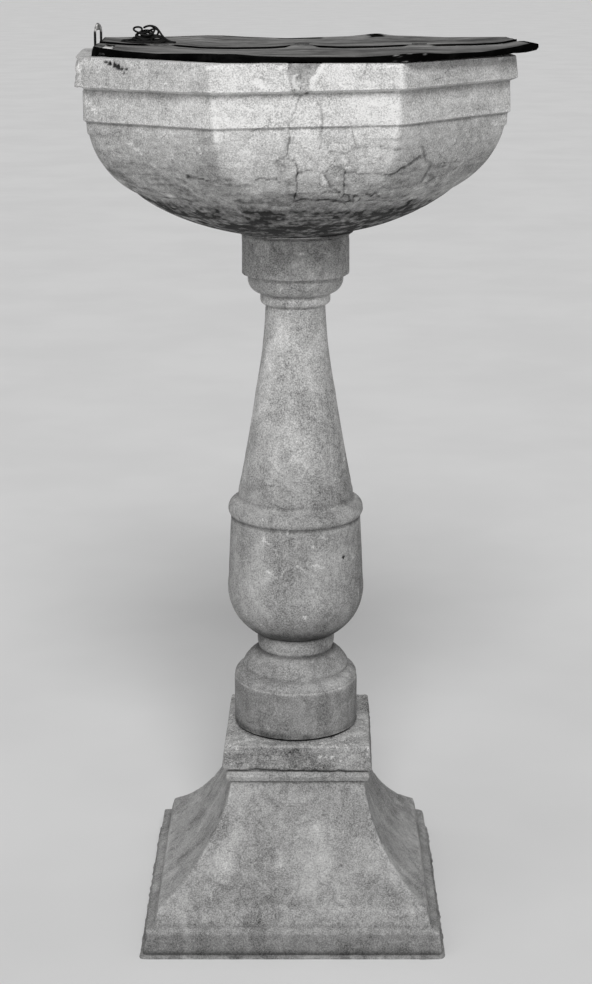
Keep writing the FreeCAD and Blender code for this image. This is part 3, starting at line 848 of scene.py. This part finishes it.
# Light edges of the mouldings, worn and partly painted highlight, then painted shade in their quirks:
# height, width, tone
SHAFT_LINES = (
    (299.2, 1.1, 0.36), (317, 1.2, 0.3), (523, 7, 0.08), (535.6, 1.2, 0.2), (822, 2, 0.1),
    (795.6, 4, 0.12), (242, 2, 0.08), (337.5, 2, -0.5), (359.5, 1.8, -0.6), (514, 2.2, -0.6),
    (540.4, 1.6, -0.26), (786.4, 1.6, -0.4), (801, 1.8, -0.4), (824, 1.5, -0.35),
    (SHAFT_TOP, 1.3, -0.55), (243, 3, -0.25),
)
# Marks on the front of the shaft: east, up, radius, depth, tone
SHAFT_MARKS = (
    (64, 474, 2.5, 1.8, -1.3), (9, 858, 3.4, 0.3, 0.5), (14, 859, 3, 0.3, 0.5),
    (32, 857, 3, 0.3, 0.4), (45, 856, 3, 0.3, 0.4), (-26, 712, 6.5, 0.4, 0.34),
    (48, 604, 3.4, 0.3, 0.3), (49, 595, 3, 0.3, 0.32), (54, 579, 2.6, 0.3, 0.32),
    (53, 571, 2.6, 0.3, 0.3), (65, 590, 2, 0.2, 0.7), (31, 558, 2.8, 0.3, 0.4),
    (25, 494, 2.2, 0.2, 0.7), (-38, 527, 2.2, 0.2, 0.6), (18, 474, 2.6, 0.3, 0.5),
    (-19, 421, 3, 0.4, 0.4), (-3, 414, 2.4, 0.3, 0.4), (15, 404, 3.4, 0.4, 0.7),
    (-40, 388, 2, 0.3, 0.8), (68, 418, 3, 0.4, 0.35), (-59, 398, 2, 0.3, 0.4),
    (-33, 254, 4.5, 0.3, 0.24), (-42, 858, 6, 0.3, 0.2), (-37, 848, 5, 0.3, 0.2),
)
WISPS = (
    ((-39, 504), (-37, 498), (-25, 494.5), (-19.6, 487.5), (-19.6, 481.5), (-22.5, 477)),
    ((-14, 455), (-7, 464.5), (3.5, 468.5), (11, 464.5), (18, 461.5)),
    ((24, 467.5), (34, 469), (40.6, 467)), ((73, 481.5), (76, 467)), ((-4, 518), (-4, 511)),
    ((-34, 460.5), (-26, 455.5), (-16, 451)), ((-13, 816), (-16.8, 813), (-16.2, 808)),
    ((36, 507), (46, 504)),
)


def lathe(line, angles, centre_x):
    radius, z = line[:, :1], line[:, 1:]
    return points(centre_x + radius * np.cos(angles), radius * np.sin(angles), z)


def make_shaft():
    angles = wrap_angles(SHAFT_ANGLES)
    line = spaced(profile(*SHAFT_PROFILE), 2.0)
    line = np.concatenate([[(40.0, SHAFT_BOTTOM), (70.0, SHAFT_BOTTOM)], line,
                           [(60.0, SHAFT_TOP), (30.0, SHAFT_TOP)]])
    grid = lathe(line, angles, SHAFT_X)
    normals = grid_normals(grid)
    x, y, z = np.moveaxis(grid, -1, 0)
    front = y < 0
    wobble = fractal(grid, 60.0, 111, 3)
    rough = fractal(grid, 8.0, 121, 3)
    spots = fractal(grid, 15.0, 131, 2)
    depth = -0.35 + 0.4 * wobble + 0.14 * rough - 0.8 * smooth(0.45, 0.65, spots)
    tone = 0.06 * fractal(grid, 60.0, 141, 3)

    tone = ruled(tone, z, SHAFT_LINES)
    edges = np.zeros_like(z)
    for height in (299, 317, 525, 799, 825, SHAFT_TOP - 1):
        edges = edges + bell(z, height, 3.0)
    depth -= 1.5 * edges * smooth(0.25, 0.6, fractal(grid, 10.0, 151, 3))

    # painted shade on the lower half of the bulb, which faces down, and on the face of the bottom
    # drum, with vertical streaks
    run = grid * np.array([1.0, 1.0, 0.15])
    streaks = fractal(run, 12.0, 161, 4)
    tone = tone - 0.06 * smooth(420, 350, z) * smooth(300, 350, z) + 0.16 * streaks
    tone = tone - 0.22 * smooth(300, 297, z) - 0.06 * smooth(340, 336, z)
    tone = tone - 0.24 * smooth(252, 242, z) * smooth(-0.1, 0.3, spots)
    tone = tone + 0.36 * smooth(535, 620, z) + 0.26 * smooth(620, 760, z) * (z < 800)
    tone = tone + 0.02 * (z > 826) - 0.3 * (z > 826) * smooth(0.0, 0.5, spots)
    shade = bell(x, 40, 7) * smooth(545, 565, z) * smooth(690, 640, z) * front
    tone = tone - 0.2 * shade * (0.6 + streaks)
    blooms = smooth(0.25, 0.6, fractal(grid, 34.0, 181, 3)) * front
    tone = tone + 0.12 * blooms
    # painted shade under the bulb where it meets the ring
    for high, low, dark in ((402, 366, 0.24), (382, 364, 0.5)):
        tone = tone - dark * smooth(high, low, z) * (z > 359)
    for east, up, radius, deep, light in SHAFT_MARKS:
        bite = dent(x, z, east, up, radius) * front
        depth -= deep * bite
        tone = tone + light * smooth(0.1, 0.6, bite)
    warp_x = x + 3.0 * value_noise(grid, 9.0, 171)
    warp_z = z + 3.0 * value_noise(grid, 9.0, 172)
    for wisp in WISPS:
        tone = tone + 0.5 * stroke(warp_x, warp_z, wisp, 0.4, 1.9) * front
    inner = (line[:, 0] < 61) & ((line[:, 1] < 241) | (line[:, 1] > SHAFT_TOP - 1))
    depth = np.where(inner[:, None], 0.0, depth)
    grid = grid + normals * depth[..., None]
    grid[..., 2] = np.clip(grid[..., 2], SHAFT_BOTTOM, SHAFT_TOP)
    closed_form("shaft_stone", grid, tone, SHAFT_STONE, ["baluster_shaft"])


# ---- base ----

SQUARE_SIDES = ((-90, 150), (0, 76), (90, 56), (180, 76))


def square_angles():
    """Column angles evenly spaced along the sides of a square, most of them on the front."""
    angles = []
    for middle, count in SQUARE_SIDES:
        along = -1 + 2 * np.arange(count) / count
        angles += list(np.degrees(np.arctan(along)) + middle)
    return np.radians(np.array(angles))


def square_rings(line, crisp, shift):
    """Worn square rings: line is (half, z), shift is the eastward step of each."""
    angles = square_angles()
    half, z = line[:, :1], line[:, 1:]
    probe = points(half * np.cos(angles), half * np.sin(angles), z)
    sharp = crisp * (1 + 0.5 * value_noise(probe, 18.0, 201))
    radius = polygon_radius(angles, half, 4, sharp)
    return points(radius * np.cos(angles) + shift[:, None], radius * np.sin(angles), z)


# Pale blooms on the front of the block (east, up, half width, half height, tone), and runs
BLOOMS = ((-84, 100, 15, 24, 0.26), (-18, 92, 10, 15, 0.26), (-66, 120, 12, 14, 0.14),
          (-100, 70, 14, 10, 0.18), (34, 128, 12, 10, 0.1), (70, 66, 16, 8, 0.1),
          (-30, 60, 30, 5, -0.14), (60, 104, 14, 20, -0.08), (10, 150, 30, 14, -0.05))
DRIPS = (((-34, 96), (-32, 76), (-34, 60)), ((-50, 62), (-36, 58), (-20, 60), (-4, 57)),
         ((16, 176), (15, 162)), ((24, 178), (24, 168)), ((40, 60), (64, 56), (90, 58)),
         ((-14, 170), (-12, 158)), ((58, 172), (60, 150)))


def make_block():
    line = spaced(profile(
        (120.0, BLOCK_BOTTOM), (184.6, BLOCK_BOTTOM), (185.5, 5.2), (182.0, 30.5),
        (171.7, 35.5), (169.5, 46.0), (167.0, 54.0), (118.0, 101.5, 85.5, 182.0), (85.5, 188.3),
        (88.8, 188.8), (91.2, 195.5), (88.8, 202.0), (86.0, BLOCK_TOP), (40.0, BLOCK_TOP)), 1.75)
    shift = 6.0 * smooth(54, 182, line[:, 1])
    grid = square_rings(line, 110.0, shift)
    normals = grid_normals(grid)
    x, y, z = np.moveaxis(grid, -1, 0)
    wobble = fractal(grid, 50.0, 211, 3)
    rough = fractal(grid, 8.0, 221, 3)
    spots = fractal(grid, 14.0, 231, 2)
    depth = -0.5 + 0.5 * wobble + 0.18 * rough - 0.9 * smooth(0.45, 0.65, spots)
    sideways = np.abs(x - shift[:, None])
    corner = smooth(9, 1, np.abs(sideways - np.abs(y)))
    depth -= 1.6 * corner * smooth(0.1, 0.6, fractal(grid, 12.0, 241, 3))
    tone = 0.07 * fractal(grid, 60.0, 251, 3) + 0.22 * corner * (0.5 + rough)
    # light lines are painted highlights on the edges of the mouldings, dark ones painted shade in
    # their creases and where the plinth meets the floor
    tone = ruled(tone, z, ((31, 2.2, 0.16), (201, 2, 0.12), (195, 4, 0.06), (54, 3, 0.1),
                           (36, 2, -0.2), (187, 2, -0.35), (5, 4, -0.4)))
    tone = tone - 0.36 * smooth(34, 28, z)
    for east, up, wide, high, light in BLOOMS:
        away = np.hypot((x - east) / wide, (z - up) / high) + 0.5 * wobble
        tone = tone + light * smooth(1.2, 0.3, away) * (y < 0)
    for drip in DRIPS:
        run = stroke(x + 4 * rough, z + 6 * wobble, drip, 0.6, 2.4)
        tone = tone + 0.16 * run * (y < 0)
    # painted light: the side faces are lightened for light coming from the sides
    tone = tone + 0.16 * (sideways > np.abs(y) + 2) * (z > 40)
    bead = bell(z, 196, 6.0)
    depth -= 1.8 * bead * smooth(0.25, 0.6, fractal(grid, 13.0, 261, 3))
    flat = (line[:, 1] < BLOCK_BOTTOM + 0.2) | (line[:, 1] > BLOCK_TOP - 0.2)
    depth = np.where(flat[:, None], 0.0, depth)
    grid = grid + normals * depth[..., None]
    grid[..., 2] = np.clip(grid[..., 2], BLOCK_BOTTOM, BLOCK_TOP)
    closed_form("base_block_stone", grid, tone, BLOCK_STONE, ["base_block"])


# Pale flecks on the front of the slab: east, up, radius, tone
FLECKS = ((-86, 235, 3, 0.5), (-83, 229, 3.4, 0.45), (-70, 233, 2.4, 0.3), (34, 224, 3.6, 0.5),
          (42, 224, 3, 0.45), (50, 223, 3.6, 0.45), (89, 235, 2.6, 0.45), (95, 234, 3.4, 0.55),
          (94, 228, 2.6, 0.4), (38, 208, 3, 0.4), (-6, 232, 2.2, 0.4), (60, 219, 2, 0.4),
          (12, 228, 2, 0.35), (-40, 226, 2.6, 0.3), (-78, 213, 3, 0.35))


def make_slab():
    line = spaced([(40.0, SLAB_BOTTOM), (91.6, SLAB_BOTTOM), (94.2, 205.9), (95.2, 208.2),
                   (92.3, 234.4), (91.3, 236.9), (88.8, SLAB_TOP), (40.0, SLAB_TOP)], 1.8)
    grid = square_rings(line, 90.0, np.zeros(len(line)))
    grid = turn_about_z(grid, -1.1)
    grid[..., 0] += SLAB_X
    normals = grid_normals(grid)
    x, y, z = np.moveaxis(grid, -1, 0)
    rough = fractal(grid, 9.0, 311, 4)
    spots = fractal(grid, 13.0, 321, 3)
    depth = -0.7 + 0.5 * fractal(grid, 40.0, 331, 3) + 0.3 * rough
    depth -= 1.6 * smooth(0.3, 0.6, spots)
    edge = smooth(5, 0, np.minimum(z - SLAB_BOTTOM, SLAB_TOP - z))
    edge = edge * (np.hypot(x - SLAB_X, y) > 84)
    depth -= 1.6 * edge * smooth(0.1, 0.5, fractal(grid, 10.0, 341, 3))
    tone = 0.12 * fractal(grid, 45.0, 351, 3) + 0.03 * edge - 0.2 * smooth(0.3, 0.6, spots)
    # painted shade on the upright faces and painted light on the top, as the light falls from above
    tone = tone - 0.36 * (z < 234.5) + 0.16 * (z > 236)
    corner = smooth(16, 2, np.abs(np.abs(x - SLAB_X) - np.abs(y)))
    # the dark line is painted shade that dulls the bevel along the top edge, which faces the light
    tone = tone + 0.16 * corner * edge - 0.16 * bell(z, 236.6, 1.4)
    for east, up, radius, light in FLECKS:
        away = np.hypot(x - east, z - up) / radius + 0.8 * rough
        tone = tone + light * smooth(1.0, 0.2, away) * (y < -80)
    hidden = np.hypot(x - SLAB_X, y) < 70
    depth = np.where(hidden, 0.0, depth)
    grid = grid + normals * depth[..., None]
    closed_form("base_slab_stone", grid, tone, SLAB_STONE, ["base_slab"])


def mortar_ring(name, node, line, shift, square, seed, ragged, painted_joint_shadow=0.0):
    line = np.array(line)
    if square:
        grid = square_rings(line, 60.0, np.full(len(line), shift))
    else:
        grid = lathe(line, wrap_angles([(0.0, 360.0, 180)]), shift)
    normals = grid_normals(grid)
    push = ragged * (fractal(grid, 10.0, seed, 4) - 0.5)
    sides = (line[:, 0] > 0.9 * line[:, 0].max())[:, None]
    grid = grid + normals * np.where(sides, push, 0.0)[..., None] * np.array([1, 1, 0])
    # the last argument darkens the mortar: painted shadow in an open joint
    tone = 0.2 * fractal(grid, 9.0, seed + 7, 3) - painted_joint_shadow
    closed_form(name, grid, tone, MORTAR, [node])


def make_mortar():
    mortar_ring("floor_bed_mortar", "floor_bed",
                [(120, 0), (188.4, 0), (189.5, 0.6), (189.2, 2.0), (187.5, 3.4),
                 (184.0, BLOCK_BOTTOM), (120, BLOCK_BOTTOM)], 0.0, True, 401, 2.2)
    mortar_ring("slab_bed_mortar", "slab_bed",
                [(40, BLOCK_TOP), (85.6, BLOCK_TOP), (86, 203.7), (85.6, SLAB_BOTTOM),
                 (40, SLAB_BOTTOM)], SLAB_X, True, 411, 2.4)
    # the shaft's bed joint is painted near-black, the shadow of the open gap under the drum
    mortar_ring("shaft_bed_mortar", "shaft_bed",
                [(40, SLAB_TOP), (76.6, SLAB_TOP), (77, 239.1), (76.6, SHAFT_BOTTOM),
                 (40, SHAFT_BOTTOM)], SHAFT_X, False, 421, 2.0, painted_joint_shadow=0.96)
    mortar_ring("bowl_bed_mortar", "bowl_bed",
                [(30, SHAFT_TOP), (68.4, SHAFT_TOP), (69.6, 875.5), (70.1, 876.2), (69.6, 877),
                 (68.4, BOWL_BOTTOM), (30, BOWL_BOTTOM)], SHAFT_X, False, 431, 1.4)


# ---- lid ----

LID_X = 20.5
LID_TURN = 1.9
LID_HALF = 256.0
LID_CORNER = LID_HALF * math.tan(math.pi / 8)
SHEET = 1.2
HINGE_X = (-181.0, -9.0, 135.0)
HINGE_WIDTH = 18.0
HINGE_Z = 1106.4
NOTCH = 3.4
SLOT_X = -239.5
SLOT_WIDTH = 11.0
SLOT_NEAR = 6.0
SLOT_FAR = 62.0
TONGUE = 50.0
LIP_ROWS = 10
# near-black: the sheet's own black on the turned-down edges, and painted shadow along the seam and in
# folds at the back
SHEET_BLACK_AND_SHADOW = -0.98
BARE_METAL = 5.0

# Heights of the sheet's top surface, by distance east along the lid
SEAM_HEIGHT = ((-256, 1110.5), (-225, 1108.0), (-195, 1107.0), (-167, 1106.6), (-130, 1103.4),
               (-90, 1102.8), (-50, 1103.4), (-24, 1105.0), (6, 1105.0), (40, 1103.8),
               (85, 1104.4), (122, 1106.2), (148, 1106.2), (200, 1106.8), (236, 1108.4),
               (256, 1112.5))
FRONT_HEIGHT = ((-256, 1110.5), (-225, 1107.0), (-180, 1105.6), (-125, 1108.4), (-93, 1109.0),
                (-66, 1106.6), (-20, 1105.4), (45, 1105.2), (74, 1106.6), (98, 1109.0),
                (116, 1109.2), (145, 1106.8), (190, 1106.4), (212, 1108.2), (235, 1110.2),
                (256, 1113.4))
BACK_HEIGHT = ((-256, 1112.4), (-195, 1110.0), (-127, 1109.4), (-78, 1106.6), (-20, 1104.4),
               (64, 1107.0), (101, 1111.0), (120, 1108.6), (186, 1108.8), (256, 1112.0))


def edge_reach(x):
    """How far the lid's edge lies from the seam."""
    return np.where(np.abs(x) < LID_CORNER, LID_HALF, LID_HALF + LID_CORNER - np.abs(x))


def lid_columns():
    """Distances east, with a column at each corner, notch and slot edge."""
    stops = [-LID_HALF, SLOT_X - SLOT_WIDTH / 2, SLOT_X + SLOT_WIDTH / 2, -LID_CORNER, LID_CORNER,
             LID_HALF]
    for x in HINGE_X:
        stops += [x - HINGE_WIDTH / 2 - 0.5, x + HINGE_WIDTH / 2 + 0.5]
    stops.sort()
    columns = [stops[0]]
    for start, end in zip(stops, stops[1:]):
        count = max(1, round((end - start) / 3.0))
        columns += list(start + (end - start) * np.arange(1, count + 1) / count)
    return np.array(columns)


def height_line(x, table):
    keys = np.array(table)
    wide = np.linspace(-1, 1, 9)
    weight = np.cos(wide * math.pi / 2) + 0.05
    total = 0.0
    for offset, share in zip(wide * 9.0, weight):
        total = total + share * np.interp(x + offset, keys[:, 0], keys[:, 1])
    return total / weight.sum()


def leaf_grid(side, gap, edge_table, seed):
    """Points of a bent leaf's top, by column along the seam and row away from it.
    side is -1 in front of the seam and 1 behind it."""
    x = lid_columns()
    seam = height_line(x, SEAM_HEIGHT)[:, None]
    gap = np.full_like(seam, gap)
    if side > 0:
        # where the seam stands above the hinge pin the rear edge is cut back, so that the
        # front leaf can swing past it
        over = seam - HINGE_Z
        gap = np.maximum(gap, 0.364 * (over + 1.3) + 1.064 * (over - 0.5) + 0.9)
    start = np.maximum(NOTCH, gap + 3.0)
    shares = np.linspace(0, 1, 56)[1:]
    reach = edge_reach(x)[:, None]
    rest = start + (reach - start) * shares
    away = np.concatenate([gap, gap + 1.0, gap + 2.0, start, rest], axis=1)
    x_grid = np.broadcast_to(x[:, None], away.shape).copy()
    y_grid = side * away
    edge = height_line(x, edge_table)[:, None]
    share = np.clip((away - gap) / np.maximum(reach - gap, 1), 0, 1)
    z_grid = seam + (edge - seam) * share ** 1.4
    sag = np.sin(math.pi * share) * smooth(250, 150, np.abs(x_grid))
    ripple = fractal(points(0.55 * x_grid, y_grid, 0.0), 42.0, seed, 3)
    held = np.ones_like(z_grid)
    for hinge in HINGE_X:
        near_hinge = smooth(22, 11, np.abs(x_grid - hinge)) * smooth(34, 17, away)
        held = held * (1 - near_hinge)
        z_grid = z_grid * (1 - near_hinge) + (LID_TOP - 0.02) * near_hinge
    z_grid = z_grid + held * np.exp(-(away - gap) / 7.0) * (1.3 if side > 0 else -1.8)
    if side < 0:
        pressed = smooth(9.0, 6.5, np.abs(x_grid - SLOT_X))
        pressed = pressed * smooth(SLOT_FAR - 1, SLOT_FAR + 1, away)
        pressed = pressed * smooth(SLOT_FAR + TONGUE + 6, SLOT_FAR + TONGUE + 1, away)
        z_grid = z_grid - 1.5 * pressed
    z_grid = z_grid + held * (0.9 * ripple * np.sin(math.pi * np.clip(share, 0, 1)) - 1.0 * sag)
    return away, x_grid, y_grid, z_grid


def slot_tongue(x_grid, y_grid, z_grid):
    """The sheet cut from the slot, folded forward and hammered flush into the leaf."""
    rows = []
    for y in np.linspace(-SLOT_FAR + 1.2, -SLOT_FAR - TONGUE + 2.0, 15):
        row = []
        for x in np.linspace(SLOT_X - SLOT_WIDTH / 2 + 0.3, SLOT_X + SLOT_WIDTH / 2 - 0.3, 6):
            nearest = np.argmin(np.hypot(x_grid - x, y_grid - min(y, -SLOT_FAR)))
            lift = 0.0 if y > -SLOT_FAR + 0.5 else SHEET + 0.15 * math.sin(y * 0.4 + x)
            row.append((x + 0.3 * math.sin(y * 0.7), y, z_grid.ravel()[nearest] + lift))
        rows.append(row)
    return np.array(rows)


def outward_ways(top, side):
    """Which way the lip faces at each point of the leaf's edge, turning softly at corners."""
    ways = []
    for x, y, _ in top:
        end = abs(x) > LID_HALF - 0.6
        if abs(y) > LID_HALF - 0.6 or (not end and abs(x) < LID_CORNER - 0.5):
            ways.append((np.sign(x) * end, side))
        elif end:
            ways.append((np.sign(x), 0.0))
        else:
            ways.append((np.sign(x) * 0.7071, side * 0.7071))
    ways = np.array(ways)
    for _ in range(2):
        ways[1:-1] = (ways[:-2] + 2 * ways[1:-1] + ways[2:]) / 4
    return ways


def lip_rows(top, side, seed, kicked):
    """Rows of points down the turned-down edge; kicked lifts and curls the right end."""
    ways = outward_ways(top, side)
    x = top[:, 0]
    flat = points(x, top[:, 1], 0.0)
    ragged = fractal(flat, 13.0, seed + 3, 3)
    bulge = 0.9 * fractal(flat, 24.0, seed + 9, 3)
    bottom = RIM + 0.25 + 0.7 * smooth(-0.2, 0.7, ragged)
    bottom = bottom + 1.6 * smooth(110, 180, x) + 2.0 * smooth(205, 250, x)
    notch = smooth(-251, -247, x) * smooth(-238, -243, x) * (top[:, 1] < 0)
    bottom = bottom + 4.5 * notch * kicked
    curl = smooth(251, 256, x) * smooth(0, 12, np.abs(top[:, 1])) * kicked
    bottom = bottom + curl * (2.6 + 2.0 * ragged)
    splay = 2.6 * bell(np.hypot(x + LID_HALF, top[:, 1] + LID_CORNER), 0.0, 30.0)
    rows = []
    for share in np.arange(1, LIP_ROWS + 1) / LIP_ROWS:
        flare = 10.2 * curl * (smooth(0.0, 0.36, share) - 0.22 * smooth(0.7, 1.0, share))
        fall = share + curl * (max(0.0, share - 0.24) / 0.76 - share)
        out = (0.55 * math.sin(math.pi * min(1.0, share * 1.2))
               + bulge * math.sin(math.pi * share * 0.9))
        out = np.minimum(out, 0.9 - 0.5 * smooth(-250, -255, x)) * (1 - curl) + flare
        out = out + splay * share
        rows.append(points(x + ways[:, 0] * out, top[:, 1] + ways[:, 1] * out,
                           top[:, 2] + (bottom - top[:, 2]) * fall))
    return rows


def leaf_tone(places, index, ring, hem, tongue_points, side, seed):
    """Streaky grey top, a painted sheen on the black sheet; black edges with flecks on the front lip,
    painted shadow along the seam, a bare tongue and painted shadow of folds at the back."""
    tone = 0.5 * fractal(places * np.array([0.35, 1.2, 0.3]), 26.0, seed + 20, 4)
    if side > 0:
        # a painted highlight along the rear leaf's edge at the seam
        tone[index[:, 1:4].ravel()] += 0.6
    skirt = np.arange(len(places)) >= index.size
    skirt[ring] = True
    flecks = fractal(places * np.array([0.6, 1.0, 1.5]), 3.2, seed + 31, 2)
    flecks = smooth(0.3, 0.6, flecks * smooth(28, 14, np.abs(places[:, 0] - 104))) * (side < 0)
    tone = np.where(skirt, SHEET_BLACK_AND_SHADOW + 0.04 * tone + 1.7 * flecks, tone)
    # the hem and the seam edge are painted black: painted shadow in the gap between the leaves
    tone[hem] = SHEET_BLACK_AND_SHADOW
    tone[index[:, 0]] = SHEET_BLACK_AND_SHADOW
    if side < 0:
        tone[-tongue_points:] = BARE_METAL
        return tone
    uneven = 16.0 * fractal(places, 30.0, seed + 41, 3)
    # the dark patches are painted shadow in folds of the sheet near its back edge
    for centre, half, reach in ((0.0, 30.0, 232.0), (97.0, 11.0, 205.0)):
        dark = smooth(half + 3, half - 3, np.abs(places[:, 0] - centre) + 0.4 * uneven)
        dark = dark * smooth(reach - 8, reach + 8, places[:, 1] + uneven)
        tone = np.maximum(tone - 1.3 * dark, SHEET_BLACK_AND_SHADOW)
    return tone


def build_leaf(name, node, body, side, gap, edge_table, seed, kicked):
    away, x_grid, y_grid, z_grid = leaf_grid(side, gap, edge_table, seed)
    columns, rows = x_grid.shape
    places = [points(x_grid, y_grid, z_grid).reshape(-1, 3)]
    index = np.arange(columns * rows).reshape(columns, rows)
    middle_x = (x_grid[1:, 1:] + x_grid[:-1, :-1]) / 2
    middle_away = (away[1:, 1:] + away[:-1, :-1]) / 2
    keep = np.ones(middle_x.shape, bool)
    for hinge in HINGE_X:
        keep &= ~((np.abs(middle_x - hinge) < HINGE_WIDTH / 2 + 0.5) & (middle_away < NOTCH))
    if side < 0:
        keep &= ~((np.abs(middle_x - SLOT_X) < SLOT_WIDTH / 2) & (middle_away > SLOT_NEAR)
                  & (middle_away < SLOT_FAR))
    faces = []

    def add_face(*corners):
        faces.append(tuple(int(k) for k in (corners if side > 0 else corners[::-1])))

    for i, j in np.argwhere(keep):
        add_face(index[i, j], index[i + 1, j], index[i + 1, j + 1], index[i, j + 1])

    # the turned-down edge
    ring = np.concatenate([index[0], index[1:, -1], index[-1, -2::-1]])
    lines = [ring]
    base = len(places[0])
    for row in lip_rows(places[0][ring], side, seed, kicked):
        places.append(row)
        lines.append(base + np.arange(len(ring)))
        base += len(ring)
    for upper, lower in zip(lines, lines[1:]):
        for i in range(len(ring) - 1):
            add_face(upper[i], upper[i + 1], lower[i + 1], lower[i])

    # the hem turned down along the seam
    drop = 2.4 if side > 0 else 1.4
    places.append(places[0][index[:, 0]] - np.array([0, 0, drop]))
    hem = base + np.arange(columns)
    base += columns
    for i in range(columns - 1):
        if keep[i, 0]:
            add_face(index[i, 0], hem[i], hem[i + 1], index[i + 1, 0])
    tongue_points = 0
    if side < 0:
        tongue = slot_tongue(x_grid, y_grid, z_grid)
        long, wide = tongue.shape[:2]
        tongue_points = long * wide
        places.append(tongue.reshape(-1, 3))
        for i in range(long - 1):
            for j in range(wide - 1):
                low = base + i * wide + j
                faces.append((low, low + wide, low + wide + 1, low + 1))
    places = np.concatenate(places)
    tone = leaf_tone(places, index, ring, hem, tongue_points, side, seed)
    places = turn_about_z(places, LID_TURN)
    places[:, 0] += LID_X
    leaf = make_object(name, places, faces, body, SHEET_IRON, [node], {"tone": tone})
    thick = leaf.modifiers.new("thickness", "SOLIDIFY")
    thick.thickness = SHEET * MM
    thick.offset = -1.0
    return leaf


# ---- staple ----

STAPLE = (-242.7, 50.0)
STAPLE_TURN = 76.0
STAPLE_WIDTH = 22.0
STAPLE_BAR = 1.6
STAPLE_TOP = 1132.0
CROWN_DEPTH = 5.4


def make_staple():
    half = STAPLE_WIDTH / 2
    bend = STAPLE_TOP - STAPLE_BAR - half
    line = [(-half, z) for z in np.linspace(RIM - 22, bend, 34)]
    line += [(-half * math.cos(a), bend + half * math.sin(a)) for a in np.linspace(0, math.pi, 30)[1:]]
    line += [(half, z) for z in np.linspace(bend, RIM - 22, 34)[1:]]
    line = np.array(line)
    way = np.gradient(line, axis=0)
    way /= np.linalg.norm(way, axis=1, keepdims=True)
    side = np.stack([-way[:, 1], way[:, 0]], axis=1)
    around = np.linspace(0, 2 * math.pi, 17)[:-1]
    rings = []
    for (px, pz), (sx, sz) in zip(line, side):
        crown = smooth(STAPLE_TOP - 10, STAPLE_TOP - 3, pz)
        ring = []
        for a in around:
            reach = STAPLE_BAR * math.cos(a)
            if reach < 0:
                reach *= 1 + crown * CROWN_DEPTH / STAPLE_BAR
            ring.append((px + sx * reach, STAPLE_BAR * math.sin(a), pz + sz * reach))
        rings.append(ring)
    grid = np.array(rings)
    lumps = fractal(grid, 4.0, 501, 3)
    pocks = fractal(grid, 2.6, 511, 3)
    crown_part = smooth(STAPLE_TOP - 13, STAPLE_TOP - 7, grid[..., 2] + 2.0 * lumps)
    face = smooth(0.0, 0.5, np.abs(grid[..., 1]) / STAPLE_BAR)
    wear = crown_part * face * smooth(-0.45, 0.1, pocks)
    centre = grid.mean(axis=1, keepdims=True)
    grid = centre + (grid - centre) * (0.97 + 0.03 * lumps)[..., None]
    tone = 0.6 * lumps
    grid = turn_about_z(grid, STAPLE_TURN)
    grid[..., 0] += STAPLE[0]
    grid[..., 1] += STAPLE[1]
    staple = closed_form("staple_bar", grid[:, ::-1], tone[:, ::-1], WORN_IRON, ["staple"])
    values = np.concatenate([wear[:, ::-1].ravel(), [0.0, 0.0]])
    layer = staple.data.attributes.new("wear", "FLOAT", "POINT")
    layer.data.foreach_set("value", values.astype(np.float32))


# ---- metal fittings kept from the CAD ----

def dress_fittings():
    wanted = {"lower_dowel": IRON, "upper_dowel": IRON, "lower_dowel_lead": LEAD,
              "upper_dowel_lead": LEAD, "staple_lead": LEAD}
    for name, node in nodes.items():
        if name.startswith("hinge") or name.startswith("rivets"):
            wanted[name] = HINGE_IRON
    for name, material in wanted.items():
        node = nodes[name]
        node.data.materials.clear()
        node.data.materials.append(material)
        for face in node.data.polygons:
            face.use_smooth = False


# ---- floor and light ----

def make_floor():
    mesh = bpy.data.meshes.new("floor")
    reach = 90.0
    mesh.from_pydata([(-reach, -reach, 0), (reach, -reach, 0), (reach, reach, 0),
                      (-reach, reach, 0)], [], [(0, 1, 2, 3)])
    floor = bpy.data.objects.new("floor", mesh)
    bpy.context.scene.collection.objects.link(floor)
    material, tree, shader = node_material("floor")
    noise(tree, object_coordinates(tree), 2.0, 3.0).remap(0.3, 0.7, 0.74, 0.78).paint(shader)
    shader.inputs["Roughness"].default_value = 0.9
    mesh.materials.append(material)


def sun(name, azimuth, elevation, strength, spread):
    data = bpy.data.lights.new(name, "SUN")
    data.energy = strength
    data.angle = math.radians(spread)
    light = bpy.data.objects.new(name, data)
    light.rotation_euler = (math.radians(90 - elevation), 0.0, math.radians(azimuth))
    bpy.context.scene.collection.objects.link(light)


def make_light():
    sun("key", 2.0, 40.0, 2.3, 24.0)
    sun("fill", -40.0, 30.0, 0.35, 60.0)
    world = bpy.data.worlds.new("studio")
    world.use_nodes = True
    background = world.node_tree.nodes["Background"]
    background.inputs["Color"].default_value = (1.0, 1.0, 1.0, 1.0)
    background.inputs["Strength"].default_value = 0.26
    bpy.context.scene.world = world
    bpy.context.scene.view_settings.view_transform = "Standard"


make_cord()
make_bowl()
make_repair()
make_shaft()
make_block()
make_slab()
make_mortar()
build_leaf("front_leaf_sheet", "lid_front_leaf", "lid_front", -1, 0.8, FRONT_HEIGHT, 601, True)
build_leaf("rear_leaf_sheet", "lid_rear_leaf", "lid_rear", 1, 1.3, BACK_HEIGHT, 651, False)
make_staple()
dress_fittings()
make_floor()
make_light()
